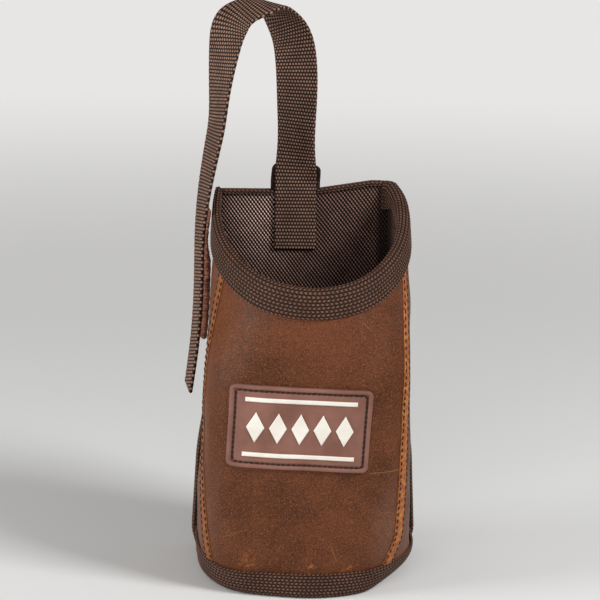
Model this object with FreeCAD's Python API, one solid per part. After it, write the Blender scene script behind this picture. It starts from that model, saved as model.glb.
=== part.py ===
import FreeCAD
import Part
import math
import os

# Bottle carrier: a padded leather pocket for one bottle, with a webbing strap to hang it by.
# The pocket is a D in plan: a flat back at +Y and one wall that runs round the front.
# Millimetres, +Z up, origin on the middle of the underside of the base.

# Overall sizes
BACK_HEIGHT = 175.0
FRONT_HEIGHT = 144.0
BACK_FACE_Y = 33.0

# The wall's outer outline: at the base, how far half height stands out from a straight line
# between base and top, and at the top
HALF_WIDTH = (48.9, 1.55, 42.4)
FRONT_Y = (-35.1, -3.45, -44.0)
SIDE_RADIUS = (58.3, -17.6, 77.2)
FRONT_ARC_HALF_ANGLE = 45.0

# How far each back seam lies in from the wall's widest place, at the base and at the top
BACK_TUCK_BASE = 0.7
BACK_TUCK_TOP = 3.2

# Layers of the padded wall, back and base
LEATHER = 2.0
FOAM = 3.0
LINING = 0.8
BOARD = 1.5
LAYER_GAP = 0.1

# Binding tape round the mouth, the base and the back's side edges
TAPE = 1.0
MOUTH_LEG = 11.4
BASE_LEG = 11.0
FLANGE = 2.6
BACK_LEG = 9.0
HEM_LEG = 3.0
JOIN_GAP = 0.2

# How the shapes are drawn: sections in a loft, spacing along the strap, the fewest steps in a
# band of it, and how far a cutting shape runs past what it cuts
LOFT_STATIONS = 6
RIBBON_STEP = 8.0
LEAST_STEP_COUNT = 3
OVERSHOOT = 2.0

# Seams between the front panel and the side panels, as angles round an axis inside the pocket:
# at the base, how far half height turns from a straight line, and at the top
SEAM_AXIS_Y = 8.0
SEAM_LEFT = (-74.0, -18.0, -56.0)
SEAM_RIGHT = (57.0, 10.5, 62.0)
SEAM_STRIP = 6.4
SEAM_STRIP_THICKNESS = 0.8
STITCH_MARGIN = 0.6
THREAD = 0.6

# Rubber label patch, measured straight across
PATCH_SPAN = 62.5
PATCH_HEIGHT = 38.0
PATCH_CORNER = 4.0
PATCH_MIDDLE_Z = 82.0
PATCH_TURN = -9.0
PATCH_TILT = 3.0
PATCH_THICKNESS = 1.8
PATCH_FRAME = 3.2
PATCH_POCKET = 0.6
INLAY_THICKNESS = 0.5
INLAY_BAR = 2.0
INLAY_COUNT = 5
INLAY_DIAMOND = 7.0
INLAY_FILL = 0.8

# Hanging strap of flat webbing, with hook tape on its tail and loop tape on the back
STRAP_WIDTH = 19.0
STRAP_THICKNESS = 1.6
STRAP_X = -6.4
STRAP_SIDE = 52.0
ANCHOR_LENGTH = 27.5
HINGE_ABOVE_BACK = 3.0
HINGE_ROOM = 1.1
HINGE_LAP = 0.2
TAIL_START = 165.4
HOOK_START = 34.0
HOOK_LENGTH = 60.0
HOOK_THICKNESS = 1.2
LOOP_TAPE_WIDTH = 25.0
LOOP_TAPE_LENGTH = 78.0
LOOP_TAPE_THICKNESS = 1.2
LOOP_TAPE_DROP = 5.0
LOOP_END_HEIGHT = 8.0
LOOP_END_START = 1.0

# The strap's route: share of the way from the riser to the side, distance in front of the
# hinge, height above the hinge, and the direction of the strap's width
STRAP_ROUTE = [
    (0.000, 0.0, -2.0, (-1.00, 0.00, 0.00)),
    (0.000, 0.0, 12.0, (-1.00, 0.00, 0.00)),
    (0.005, 0.5, 34.0, (-1.00, 0.05, 0.00)),
    (0.013, 2.1, 54.0, (-0.99, 0.12, 0.00)),
    (0.057, 5.3, 65.5, (-0.98, 0.15, 0.05)),
    (0.167, 8.5, 72.5, (-0.93, 0.35, -0.10)),
    (0.305, 12.1, 77.3, (-0.80, 0.55, -0.22)),
    (0.436, 16.1, 80.2, (-0.72, 0.66, -0.15)),
    (0.546, 19.8, 79.8, (-0.75, 0.65, 0.08)),
    (0.636, 22.3, 74.8, (-0.78, 0.60, 0.15)),
    (0.719, 22.5, 63.5, (-0.62, 0.74, 0.25)),
    (0.789, 20.5, 44.0, (-0.38, 0.88, 0.28)),
    (0.838, 17.1, 25.0, (-0.25, 0.94, 0.20)),
    (0.858, 15.6, 18.0, (-0.25, 0.95, 0.20)),
    (0.904, 11.6, 0.0, (-0.25, 0.95, 0.15)),
    (0.943, 8.6, -21.0, (-0.22, 0.97, 0.08)),
    (0.969, 6.1, -46.0, (-0.20, 0.98, 0.05)),
    (1.004, 4.6, -73.0, (-0.15, 0.99, 0.03)),
    (1.057, 4.1, -98.0, (-0.10, 0.99, 0.00)),
]

# Worked out from the sizes above
WALL = LEATHER + FOAM + LINING + 2 * LAYER_GAP
FOAM_INSET = LEATHER + LAYER_GAP
LINING_INSET = FOAM_INSET + FOAM + LAYER_GAP
TAPE_REACH = TAPE + LAYER_GAP
WALL_END_Y = BACK_FACE_Y - LAYER_GAP
WALL_LOW = TAPE + LAYER_GAP
BACK_FOAM_Y = BACK_FACE_Y + LINING + LAYER_GAP
BACK_LEATHER_Y = BACK_FOAM_Y + FOAM + LAYER_GAP
BACK_REAR_Y = BACK_LEATHER_Y + LEATHER
FLANGE_TAPE = FLANGE + TAPE_REACH
FRONT_LEG_START = FLANGE - JOIN_GAP * 2
BINDING_TOP = BASE_LEG + JOIN_GAP
HEM_LOW = BACK_HEIGHT - HEM_LEG
STRAP_REAR_Y = BACK_FACE_Y - LAYER_GAP
HINGE_Y = STRAP_REAR_Y - STRAP_THICKNESS / 2
HINGE_Z = BACK_HEIGHT + HINGE_ABOVE_BACK
LOFT_TOP = BACK_HEIGHT + TAPE_REACH + OVERSHOOT
FAR = 4 * BACK_HEIGHT


def vector(x, y, z=0.0):
    return FreeCAD.Vector(x, y, z)


def at_height(values, height):
    """A smooth value from the base to the top of the back, with a bulge at half height."""
    base, bulge, top = values
    share = height / BACK_HEIGHT
    return base + (top - base) * share + 4 * bulge * share * (1 - share)


def back_half_width(height):
    """Half the distance between the wall's two back seams: the back tapers in a straight line."""
    base = HALF_WIDTH[0] - BACK_TUCK_BASE
    top = HALF_WIDTH[2] - BACK_TUCK_TOP
    return base + (top - base) * height / BACK_HEIGHT


def outline_arcs(height, inset):
    """The wall's outline at one height, moved inwards by inset, as arcs from left to right."""
    half_width = at_height(HALF_WIDTH, height)
    side_radius = at_height(SIDE_RADIUS, height)
    sine = math.sin(math.radians(FRONT_ARC_HALF_ANGLE))
    cosine = math.cos(math.radians(FRONT_ARC_HALF_ANGLE))
    front_radius = (half_width - side_radius * (1 - sine)) / sine
    front_centre = at_height(FRONT_Y, height) + front_radius
    side_x = half_width - side_radius
    side_y = front_centre + (side_radius - front_radius) * cosine
    tuck = half_width - back_half_width(height)
    depth = BACK_FACE_Y - side_y
    tuck_radius = (tuck * tuck + depth * depth) / (2 * tuck)
    tuck_x = half_width - tuck_radius
    end_angle = math.asin((WALL_END_Y - side_y) / (tuck_radius - inset))

    def point(sign, centre_x, centre_y, radius, angle):
        x = centre_x + (radius - inset) * math.cos(angle)
        y = centre_y + (radius - inset) * math.sin(angle)
        return vector(sign * x, y, height)

    side_start = -math.radians(90 - FRONT_ARC_HALF_ANGLE)
    arcs = []
    for sign in (-1, 1):
        tuck_arc = [point(sign, tuck_x, side_y, tuck_radius, end_angle * part) for part in (1, 0.5, 0)]
        side_arc = [point(sign, side_x, side_y, side_radius, side_start * part) for part in (0, 0.5, 1)]
        half = [tuck_arc, side_arc]
        if sign > 0:
            half = [side_arc[::-1], tuck_arc[::-1]]
        arcs.append(half)
    front_middle = point(1, 0.0, front_centre, front_radius, -math.pi / 2)
    front_arc = [arcs[0][1][2], front_middle, arcs[1][0][0]]
    return arcs[0] + [front_arc] + arcs[1]


def arc_edges(arcs):
    return [Part.Arc(*points).toShape() for points in arcs]


def line(start, end):
    return Part.LineSegment(start, end).toShape()


def heights(low, high):
    step = (high - low) / (LOFT_STATIONS - 1)
    return [low + step * index for index in range(LOFT_STATIONS)]


def wall_ring(outer, inner, low=WALL_LOW, high=LOFT_TOP):
    """The part of the wall between two insets, open at the back and at both ends."""
    wires = []
    for height in heights(low, high):
        outside = outline_arcs(height, outer)
        inside = [points[::-1] for points in outline_arcs(height, inner)[::-1]]
        edges = arc_edges(outside)
        edges.append(line(outside[-1][-1], inside[0][0]))
        edges += arc_edges(inside)
        edges.append(line(inside[-1][-1], outside[0][0]))
        wires.append(Part.Wire(edges))
    return Part.makeLoft(wires, True, False)


def pocket_plug(inset, low, high):
    """Everything inside the wall's outline moved inwards by inset, with a flat back."""
    wires = []
    for height in heights(low, high):
        outside = outline_arcs(height, inset)
        edges = arc_edges(outside)
        edges.append(line(outside[-1][-1], outside[0][0]))
        wires.append(Part.Wire(edges))
    return Part.makeLoft(wires, True, False)


def prism(points, direction):
    """A solid from a flat polygon and the way it is pushed out."""
    return Part.Face(Part.makePolygon(points + points[:1])).extrude(direction)


def box(low, high):
    return Part.makeBox(high[0] - low[0], high[1] - low[1], high[2] - low[2], vector(*low))


def above(height):
    return box((-FAR, -FAR, height), (FAR, FAR, FAR))


def below_mouth(offset):
    """The space under the slanted mouth, moved up square to it by offset."""
    front_y = at_height(FRONT_Y, FRONT_HEIGHT)
    slope = (BACK_HEIGHT - FRONT_HEIGHT) / (BACK_FACE_Y - front_y)
    lift = offset * math.hypot(1, slope)

    def height(y):
        return BACK_HEIGHT + slope * (y - BACK_FACE_Y) + lift

    points = [vector(-FAR, y, z) for y, z in (
        (-FAR, -FAR * 2), (FAR, -FAR * 2), (FAR, height(FAR)), (-FAR, height(-FAR)))]
    return prism(points, vector(2 * FAR, 0, 0))


def slanted_slab(inside, outside, y_low, y_high, z_low, z_high):
    """A slab beside the right back seam, between two distances out from it."""
    points = [
        vector(back_half_width(z_low) + inside, y_low, z_low),
        vector(back_half_width(z_low) + outside, y_low, z_low),
        vector(back_half_width(z_high) + outside, y_low, z_high),
        vector(back_half_width(z_high) + inside, y_low, z_high),
    ]
    return prism(points, vector(0, y_high - y_low, 0))


def back_slab(margin, y_low, y_high, z_low, z_high):
    """A slab with the back's tapered outline, margin wider than the seams on each side."""
    points = []
    for sign, z in ((-1, z_low), (1, z_low), (1, z_high), (-1, z_high)):
        points.append(vector(sign * (back_half_width(z) + margin), y_low, z))
    return prism(points, vector(0, y_high - y_low, 0))


def mirrored(shape):
    return shape.mirror(vector(0, 0, 0), vector(1, 0, 0))


def seam_wedge(left, right, left_shift=0.0, right_shift=0.0):
    """The sector between two seam lines, each moved along the wall by its shift."""
    wires = []
    for height in heights(-OVERSHOOT, LOFT_TOP):
        radius = at_height(HALF_WIDTH, height)
        start = math.radians(at_height(left, height)) + left_shift / radius
        end = math.radians(at_height(right, height)) + right_shift / radius
        points = [vector(0, SEAM_AXIS_Y, height)]
        for part in (0, 1 / 3, 2 / 3, 1):
            angle = start + (end - start) * part
            points.append(vector(FAR * math.sin(angle), SEAM_AXIS_Y - FAR * math.cos(angle), height))
        wires.append(Part.makePolygon(points + points[:1]))
    return Part.makeLoft(wires, True, False)


def leather_wall():
    return wall_ring(0, LEATHER).common(below_mouth(0))


def front_panel():
    wedge = seam_wedge(SEAM_LEFT, SEAM_RIGHT, LAYER_GAP / 2, -LAYER_GAP / 2)
    return leather_wall().common(wedge)


def side_panel(sign):
    wedge = seam_wedge(SEAM_LEFT, SEAM_RIGHT, -LAYER_GAP / 2, LAYER_GAP / 2)
    half = box((0, -FAR, -FAR), (FAR, FAR, FAR))
    if sign < 0:
        half = mirrored(half)
    return leather_wall().cut(wedge).common(half)


def seam_band(seam, outer, inner, middle, width):
    """A narrow band that lies along a seam between the two bindings."""
    wedge = seam_wedge(seam, seam, middle - width / 2, middle + width / 2)
    band = wall_ring(outer, inner).common(wedge)
    band = band.common(below_mouth(-MOUTH_LEG - JOIN_GAP))
    return band.common(above(BINDING_TOP))


def seam_strip(seam):
    return seam_band(seam, -SEAM_STRIP_THICKNESS - LAYER_GAP, -LAYER_GAP, 0.0, SEAM_STRIP)


def seam_stitches(seam):
    """A row of thread along each edge of a seam strip, on top of it."""
    floor = -SEAM_STRIP_THICKNESS - 2 * LAYER_GAP
    row = SEAM_STRIP / 2 - STITCH_MARGIN
    bands = [seam_band(seam, floor - THREAD, floor, middle, THREAD) for middle in (-row, row)]
    return Part.makeCompound(bands)


def mouth_binding():
    """Tape folded over the mouth, with one leg outside and one inside."""
    band = wall_ring(-TAPE_REACH, WALL + TAPE_REACH).common(below_mouth(TAPE_REACH))
    band = band.cut(below_mouth(-MOUTH_LEG))
    core = wall_ring(-LAYER_GAP, WALL + LAYER_GAP).common(below_mouth(LAYER_GAP))
    return band.cut(core)


def base_binding():
    """Tape folded round the bottom edge of the wall and of the back."""
    back_outside = back_slab(FLANGE_TAPE, WALL_END_Y - TAPE, BACK_REAR_Y + TAPE_REACH, 0, BASE_LEG)
    outside = pocket_plug(-TAPE_REACH, 0, BASE_LEG).fuse(back_outside)
    wall_room = pocket_plug(-LAYER_GAP, TAPE, BINDING_TOP)
    back_room = back_slab(FLANGE + LAYER_GAP, WALL_END_Y, BACK_REAR_Y + LAYER_GAP, TAPE, BINDING_TOP)
    base_room = pocket_plug(WALL + TAPE_REACH, -OVERSHOOT, BINDING_TOP)
    return outside.cut(wall_room.fuse(back_room)).cut(base_room).removeSplitter()


def back_binding():
    """Tape folded round the right side edge of the back."""
    low = BINDING_TOP
    high = HEM_LOW - JOIN_GAP
    rear_y = BACK_REAR_Y + LAYER_GAP
    front_y = WALL_END_Y - TAPE
    rear_leg = slanted_slab(FLANGE_TAPE - BACK_LEG, FLANGE_TAPE, rear_y, rear_y + TAPE, low, high)
    web = slanted_slab(FLANGE + LAYER_GAP, FLANGE_TAPE, front_y, rear_y + TAPE, low, high)
    front_leg = slanted_slab(FRONT_LEG_START, FLANGE_TAPE, front_y, WALL_END_Y, low, high)
    return rear_leg.fuse(web).fuse(front_leg).removeSplitter()


def back_top_hem():
    """Narrow tape over the top edge of the back, cut away in front where the strap passes."""
    web_low = BACK_HEIGHT + LAYER_GAP
    top = BACK_HEIGHT + TAPE_REACH
    rear_y = BACK_REAR_Y + LAYER_GAP
    front_y = WALL_END_Y - TAPE
    inside = outline_arcs(top, WALL + TAPE_REACH + JOIN_GAP)[-1][-1].x
    web = back_slab(FLANGE_TAPE, BACK_FACE_Y, rear_y + TAPE, web_low, top)
    rear_leg = back_slab(FLANGE_TAPE, rear_y, rear_y + TAPE, HEM_LOW, top)
    front_leg = box((-inside, front_y, HEM_LOW), (inside, WALL_END_Y, top))
    bridge = box((-inside, front_y, web_low), (inside, BACK_FACE_Y, top))
    hem = web.fuse(rear_leg).fuse(front_leg).fuse(bridge)
    strap_room = STRAP_WIDTH / 2 + JOIN_GAP
    notch = box((STRAP_X - strap_room, 0, 0), (STRAP_X + strap_room, BACK_FACE_Y, FAR))
    return hem.cut(notch).removeSplitter()


def base_layers():
    """Leather, stiffening board, foam and lining, from the underside up."""
    wide = WALL + LAYER_GAP * 2
    narrow = WALL + TAPE_REACH + LAYER_GAP
    layers = {}
    low = 0.0
    for name, thickness, inset in (("base_panel", LEATHER, narrow), ("base_board", BOARD, wide),
                                   ("base_foam", FOAM, wide), ("base_lining", LINING, wide)):
        layers[name] = pocket_plug(inset, low, low + thickness)
        low += thickness + LAYER_GAP
    return layers


def patch_prism(margin):
    """A block with the patch's rounded outline, margin smaller all round, across the front."""
    width = PATCH_SPAN - 2 * margin
    height = PATCH_HEIGHT - 2 * margin
    depth = -2 * at_height(FRONT_Y, PATCH_MIDDLE_Z)
    block = Part.makeBox(width, depth, height, vector(-width / 2, -depth, -height / 2))
    edges = [edge for edge in block.Edges if abs(edge.tangentAt(0).y) > 0.5]
    block = block.makeFillet(PATCH_CORNER - margin / 2, edges)
    return placed_on_patch(block)


def placed_on_patch(shape):
    """Tilt a shape in the patch's plane and turn it to face the way the patch does."""
    shape.rotate(vector(0, 0, 0), vector(0, 1, 0), PATCH_TILT)
    shape.rotate(vector(0, 0, 0), vector(0, 0, 1), PATCH_TURN)
    shape.translate(vector(0, SEAM_AXIS_Y, PATCH_MIDDLE_Z))
    return shape


def patch_layer(outer, inner):
    reach = PATCH_HEIGHT / 2 + PATCH_SPAN / 4
    return wall_ring(outer, inner, PATCH_MIDDLE_Z - reach, PATCH_MIDDLE_Z + reach)


def label_patch():
    top = -PATCH_THICKNESS - LAYER_GAP
    plate = patch_layer(top, -LAYER_GAP).common(patch_prism(0))
    pocket = patch_layer(top - PATCH_POCKET, top + PATCH_POCKET).common(patch_prism(PATCH_FRAME))
    return plate.cut(pocket)


def patch_stitches():
    floor = -PATCH_THICKNESS - LAYER_GAP + PATCH_POCKET - LAYER_GAP
    outline = patch_prism(PATCH_FRAME + LAYER_GAP).cut(patch_prism(PATCH_FRAME + LAYER_GAP + THREAD))
    return patch_layer(floor - THREAD / 2, floor).common(outline)


def patch_inlay():
    """Plain raised ornament in the patch: a row of diamonds between two bars."""
    floor = -PATCH_THICKNESS - LAYER_GAP + PATCH_POCKET - LAYER_GAP
    layer = patch_layer(floor - INLAY_THICKNESS, floor)
    depth = -2 * at_height(FRONT_Y, PATCH_MIDDLE_Z)
    room_across = PATCH_SPAN - 2 * PATCH_FRAME - 4 * INLAY_BAR
    room_up = PATCH_HEIGHT - 2 * PATCH_FRAME - 4 * INLAY_BAR
    pieces = []
    for sign in (-1, 1):
        low = sign * room_up / 2 - INLAY_BAR / 2
        bar = box((-room_across / 2, -depth, low), (room_across / 2, 0, low + INLAY_BAR))
        pieces.append(layer.common(placed_on_patch(bar)))
    pitch = room_across / INLAY_COUNT
    for index in range(INLAY_COUNT):
        middle = (index - (INLAY_COUNT - 1) / 2) * pitch
        corners = [vector(middle + x * pitch / 2 * INLAY_FILL, 0, z * INLAY_DIAMOND)
                   for x, z in ((-1, 0), (0, -1), (1, 0), (0, 1))]
        diamond = prism(corners, vector(0, -depth, 0))
        pieces.append(layer.common(placed_on_patch(diamond)))
    return Part.makeCompound([solid for piece in pieces for solid in piece.Solids])


def strap_curves():
    """The strap's middle line, its left edge, and the distance along it to each route point."""
    points = []
    edge_points = []
    for share, forward, up, width in STRAP_ROUTE:
        across = STRAP_X + share * (-STRAP_SIDE - STRAP_X)
        points.append(vector(across, HINGE_Y - forward, HINGE_Z + up))
        edge_points.append(points[-1] + vector(*width) * (STRAP_WIDTH / 2))
    distances = [0.0]
    for start, end in zip(points, points[1:]):
        distances.append(distances[-1] + start.distanceToPoint(end))
    middle = Part.BSplineCurve()
    middle.interpolate(Points=points, Parameters=distances)
    edge = Part.BSplineCurve()
    edge.interpolate(Points=edge_points, Parameters=distances)
    return middle, edge, distances


def strap_frame(distance):
    """A point on the strap's middle line, its run, its width and its outer face's direction."""
    middle, edge, _ = strap_curves()
    point = middle.value(distance)
    run = middle.tangent(distance)[0]
    outward = (edge.value(distance) - point).cross(run).normalize()
    return point, run, run.cross(outward).normalize(), outward


def ribbon(start, end, width, inner, outer):
    """A flat band that follows the strap, between two offsets from its middle line."""
    steps = max(LEAST_STEP_COUNT, round((end - start) / RIBBON_STEP))
    distances = [start + (end - start) * step / steps for step in range(steps + 1)]
    rails = [[], [], [], []]
    for distance in distances:
        point, _, across, outward = strap_frame(distance)
        for rail, (side, offset) in zip(rails, ((-1, inner), (1, inner), (1, outer), (-1, outer))):
            rail.append(point + across * (side * width / 2) + outward * offset)
    curves = []
    for rail in rails:
        curve = Part.BSplineCurve()
        curve.interpolate(Points=rail, Parameters=distances)
        curves.append(curve)
    faces = []
    for low, high in zip(distances, distances[1:]):
        edges = [curve.toShape(low, high) for curve in curves]
        faces += [Part.makeRuledSurface(edges[index - 1], edges[index], 1) for index in range(4)]
    for cap in (0, -1):
        corners = [rail[cap] for rail in rails]
        faces += [Part.Face(Part.makePolygon(corners + corners[:1]))]
    shell = Part.makeShell(faces)
    shell.sewShape()
    band = Part.makeSolid(shell)
    if band.Volume < 0:
        band.reverse()
    return band


def strap_parts():
    """The sewn tab, the loop that swings on it, the hanging tail and the tapes."""
    half = STRAP_THICKNESS / 2
    swing = -STRAP_ROUTE[0][2]
    end = strap_curves()[2][-1]
    hook = TAIL_START + HOOK_START
    loop_end = swing + LOOP_END_START
    face = half + LAYER_GAP
    anchor_top = HINGE_Z - HINGE_ROOM
    loop_top = BACK_HEIGHT - LOOP_TAPE_DROP
    loop_y = BACK_REAR_Y + LAYER_GAP
    left = STRAP_X - STRAP_WIDTH / 2
    tape_left = STRAP_X - LOOP_TAPE_WIDTH / 2
    parts = {
        "strap_anchor": box((left, HINGE_Y - half, anchor_top - ANCHOR_LENGTH),
                            (left + STRAP_WIDTH, HINGE_Y + half, anchor_top)),
        "strap_loop": ribbon(swing - HINGE_LAP, TAIL_START - HINGE_ROOM, STRAP_WIDTH, -half, half),
        "strap_tail": ribbon(TAIL_START - HINGE_LAP, end, STRAP_WIDTH, -half, half),
        "hook_tape": ribbon(hook, hook + HOOK_LENGTH, STRAP_WIDTH, -face - HOOK_THICKNESS, -face),
        "loop_tape": box((tape_left, loop_y, loop_top - LOOP_TAPE_LENGTH),
                         (tape_left + LOOP_TAPE_WIDTH, loop_y + LOOP_TAPE_THICKNESS, loop_top)),
        "loop_tape_end": ribbon(loop_end, loop_end + LOOP_END_HEIGHT, LOOP_TAPE_WIDTH,
                                face, face + LOOP_TAPE_THICKNESS),
    }
    pivot, _, across, _ = strap_frame(TAIL_START)
    print("tail pivot", [round(value, 3) for value in pivot], [round(value, 4) for value in across])
    print("strap length beyond the back", round(end - swing, 1))
    return parts


def all_parts():
    mouth = below_mouth(0)
    back_top = BACK_HEIGHT
    right_binding = back_binding()
    parts = {
        "front_panel": front_panel(),
        "side_panel_left": side_panel(-1),
        "side_panel_right": side_panel(1),
        "seam_strip_left": seam_strip(SEAM_LEFT),
        "seam_strip_right": seam_strip(SEAM_RIGHT),
        "seam_stitches_left": seam_stitches(SEAM_LEFT),
        "seam_stitches_right": seam_stitches(SEAM_RIGHT),
        "wall_foam": wall_ring(FOAM_INSET, FOAM_INSET + FOAM).common(mouth),
        "wall_lining": wall_ring(LINING_INSET, WALL).common(mouth),
        "back_lining": back_slab(FLANGE, BACK_FACE_Y, BACK_FACE_Y + LINING, WALL_LOW, back_top),
        "back_foam": back_slab(FLANGE, BACK_FOAM_Y, BACK_FOAM_Y + FOAM, WALL_LOW, back_top),
        "back_panel": back_slab(FLANGE, BACK_LEATHER_Y, BACK_REAR_Y, WALL_LOW, back_top),
        "mouth_binding": mouth_binding(),
        "base_binding": base_binding(),
        "back_binding_right": right_binding,
        "back_binding_left": mirrored(right_binding),
        "back_top_hem": back_top_hem(),
        "label_patch": label_patch(),
        "patch_stitches": patch_stitches(),
        "patch_inlay": patch_inlay(),
    }
    parts.update(base_layers())
    parts.update(strap_parts())
    return parts


os.makedirs("parts", exist_ok=True)
for node, shape in all_parts().items():
    shape.exportStep("parts/" + node + ".step")
    print(node, "solids", len(shape.Solids), "valid", shape.isValid(), "volume", round(shape.Volume, 1))
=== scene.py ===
import math
import random

import bmesh
import bpy
import numpy as np
from mathutils import Matrix, Vector


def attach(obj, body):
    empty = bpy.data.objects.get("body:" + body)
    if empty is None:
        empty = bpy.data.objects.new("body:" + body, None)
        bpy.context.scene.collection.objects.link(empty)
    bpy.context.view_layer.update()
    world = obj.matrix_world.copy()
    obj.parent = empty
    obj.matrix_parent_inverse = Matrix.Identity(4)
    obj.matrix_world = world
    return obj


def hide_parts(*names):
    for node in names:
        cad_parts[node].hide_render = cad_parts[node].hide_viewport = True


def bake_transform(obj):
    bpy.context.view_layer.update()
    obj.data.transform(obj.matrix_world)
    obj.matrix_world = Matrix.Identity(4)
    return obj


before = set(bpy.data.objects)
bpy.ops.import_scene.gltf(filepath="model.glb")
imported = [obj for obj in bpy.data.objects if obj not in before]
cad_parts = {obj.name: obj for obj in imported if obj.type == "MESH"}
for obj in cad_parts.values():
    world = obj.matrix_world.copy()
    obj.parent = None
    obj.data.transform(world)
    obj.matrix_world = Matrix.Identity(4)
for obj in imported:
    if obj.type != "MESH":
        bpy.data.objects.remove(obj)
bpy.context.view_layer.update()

# Bottle carrier: a padded leather pocket with woven edge tape, a rubber patch and a webbing strap.
# Sizes are in millimetres, in the frame's own axes, and are turned into metres when a mesh is made.
MM = 0.001
TINY = 1e-6
MIRROR = np.array([-1.0, 1.0])
CORNER_POINTS = 7

# The pocket: a D in plan, with a flat back at +Y and one wall that runs round the front.
# Three values together are for the base, a bulge at half height, and the top of the back.
BACK_HEIGHT = 175.0
FRONT_HEIGHT = 144.0
BACK_FACE_Y = 33.0
HALF_WIDTH = (48.9, 1.55, 42.4)
FRONT_Y = (-35.1, -3.45, -44.0)
SIDE_RADIUS = (58.3, -17.6, 77.2)
FRONT_ARC_HALF_ANGLE = math.radians(45.0)
BACK_TUCK_BASE = 0.7
BACK_TUCK_TOP = 3.2

# The empty pocket's front lies almost flat behind the stiff patch
FLAT_POWER = 4.4
FLAT_PUSH = 1.5
FLAT_NARROW = 0.02
FLAT_SHIFT = -1.3
FLAT_LOW = (0.0, 30.0)
FLAT_LOW_LEFT = (-30.0, 30.0)
FLAT_LEFT_REACH = 30.0
FLAT_HIGH = (96.0, 142.0)

# Close to the floor the front corners are drawn in
CORNER_CUT_LEFT = 3.2
CORNER_CUT_RIGHT = 8.0
CORNER_CUT_HEIGHT = 11.0
CORNER_CUT_LEFT_X = (34.0, 48.0)
CORNER_CUT_RIGHT_X = (22.0, 44.0)
CORNER_CUT_Y = (8.0, 30.0)

# Near the mouth the left wall runs on straighter to the back than the right one
LEFT_SPREAD = 2.3
LEFT_SPREAD_HEIGHTS = (110.0, 165.0)

# The left side bulges low down
LEFT_BULGE = 0.7
LEFT_BULGE_POWER = 8
LEFT_BULGE_LOW = (4.0, 25.0)
LEFT_BULGE_HIGH = (40.0, 80.0)

# Rows and columns of the table that holds the wall's outline, and how far from its end it is last read
ARC_POINTS = 400
TABLE_LOW = -4.0
TABLE_STEP = 1.0
TABLE_ROWS = 190
TABLE_COLUMNS = 801
TABLE_END = 1.001

# Layers, from the outside in
LEATHER = 2.0
FOAM = 3.0
LINING = 0.8
BOARD = 1.5
GAP = 0.1
WALL = LEATHER + FOAM + LINING + 2 * GAP
FOAM_INSET = LEATHER + GAP
LINING_INSET = FOAM_INSET + FOAM + GAP
WALL_END_Y = BACK_FACE_Y - GAP
BACK_FOAM_Y = BACK_FACE_Y + LINING + GAP
BACK_LEATHER_Y = BACK_FOAM_Y + FOAM + GAP
BACK_REAR_Y = BACK_LEATHER_Y + LEATHER

# Leather panels of the wall: how far below the mouth they end, and their swell between the seams,
# with shallow waves that each have a length round and up, and a phase
PANEL_DROP = 3.0
PANEL_ROWS = 150
PANEL_COLUMNS = {"side_panel_left": 50, "front_panel": 170, "side_panel_right": 60}
FOAM_GRID = (150, 60)
LINING_GRID = (220, 120)
PILLOW = 0.5
PILLOW_EDGE = 4.0
DENT = 0.18
DENT_ROUND = 290.0
DENT_WAVES = [(41, 57, 0.4), (29, -38, 2.1), (63, 33, 4.0), (-47, 24, 1.2), (23, 71, 5.3)]

# The back's swell, how it is pressed thin at the top, and how far it reaches past the wall
BACK_PINCH = 0.45
BACK_PINCH_REACH = 16.0
BACK_SWELL_EDGE = 9.0
BACK_SWELL_HALF = 45
BACK_SWELL_TOP = 4
BACK_WIDTH = 100
BACK_SPACING = 1.2
BACK_FOAM_SPACING = 3.0
BACK_SWELL = 0.9
BACK_LINING_SWELL = -0.35
BACK_WAVES = (13.0, 31.0, 17.0)
FLANGE = 3.2
FLANGE_LOW_TUCK = 2.6
FLANGE_TUCK = 2.7
FLANGE_TUCK_HEIGHTS = (45.0, 80.0)
BASE_ROWS = 60
BASE_COLUMNS = 121
BASE_CROWN = 0.5
BASE_CROWN_EDGE = 6.0
BASE_CROWN_REACH = 60

# Edge tape: its own weave, and its fold over the mouth, where it presses the padding together
TAPE = 1.0
TAPE_REACH = TAPE + GAP
TAPE_RIB = 1.5
TAPE_YARN = 1.9
TAPE_YARN_SHARE = 0.45
TAPE_RELIEF = 0.32
TAPE_ACROSS_SPACING = 0.3
TAPE_ALONG_SPACING = 0.45
WALL_LOW = TAPE_REACH
MOUTH_LEG = 9.8
MOUTH_INNER_PLACES = (0.0, 0.80, 0.96, 1.0)
MOUTH_INNER_LEG = (5.5, 5.5, 6.0, 10.0)
MOUTH_DROP = (3.6, 2.8, -0.3)
MOUTH_OVER = 7.2
MOUTH_TURN = 3.9
MOUTH_TURN_CLOSE = 2.0
MOUTH_CLOSED = 0.02
MOUTH_COLUMNS = 80
PINCH_PLACES = (0.0, 0.25, 0.75, 1.0)
PINCH = (0.85, 0.55, 0.5, 0.25)
PINCH_REACH = 24.0

# Tape round the base: its upper edge lies higher at the sides
BASE_LEG = 11.6
BASE_TURN = 2.4
BASE_CORNER = 1.3
BASE_INSIDE = -2.0
BASE_REAR_SHARE = 0.8
BASE_RING_START = 0.0045
BASE_RING_STEP = 0.0018
BASE_BACK_POINTS = 90
BASE_FLANK_POINTS = 8
BASE_OUTWARD = 0.5
BASE_RISE_LEFT = 3.8
BASE_RISE_LEFT_X = (36.0, 49.0)
BASE_RISE_RIGHT = 2.4
BASE_RISE_RIGHT_X = (24.0, 44.0)
BASE_RISE_Y = (14.0, 28.0)

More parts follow.
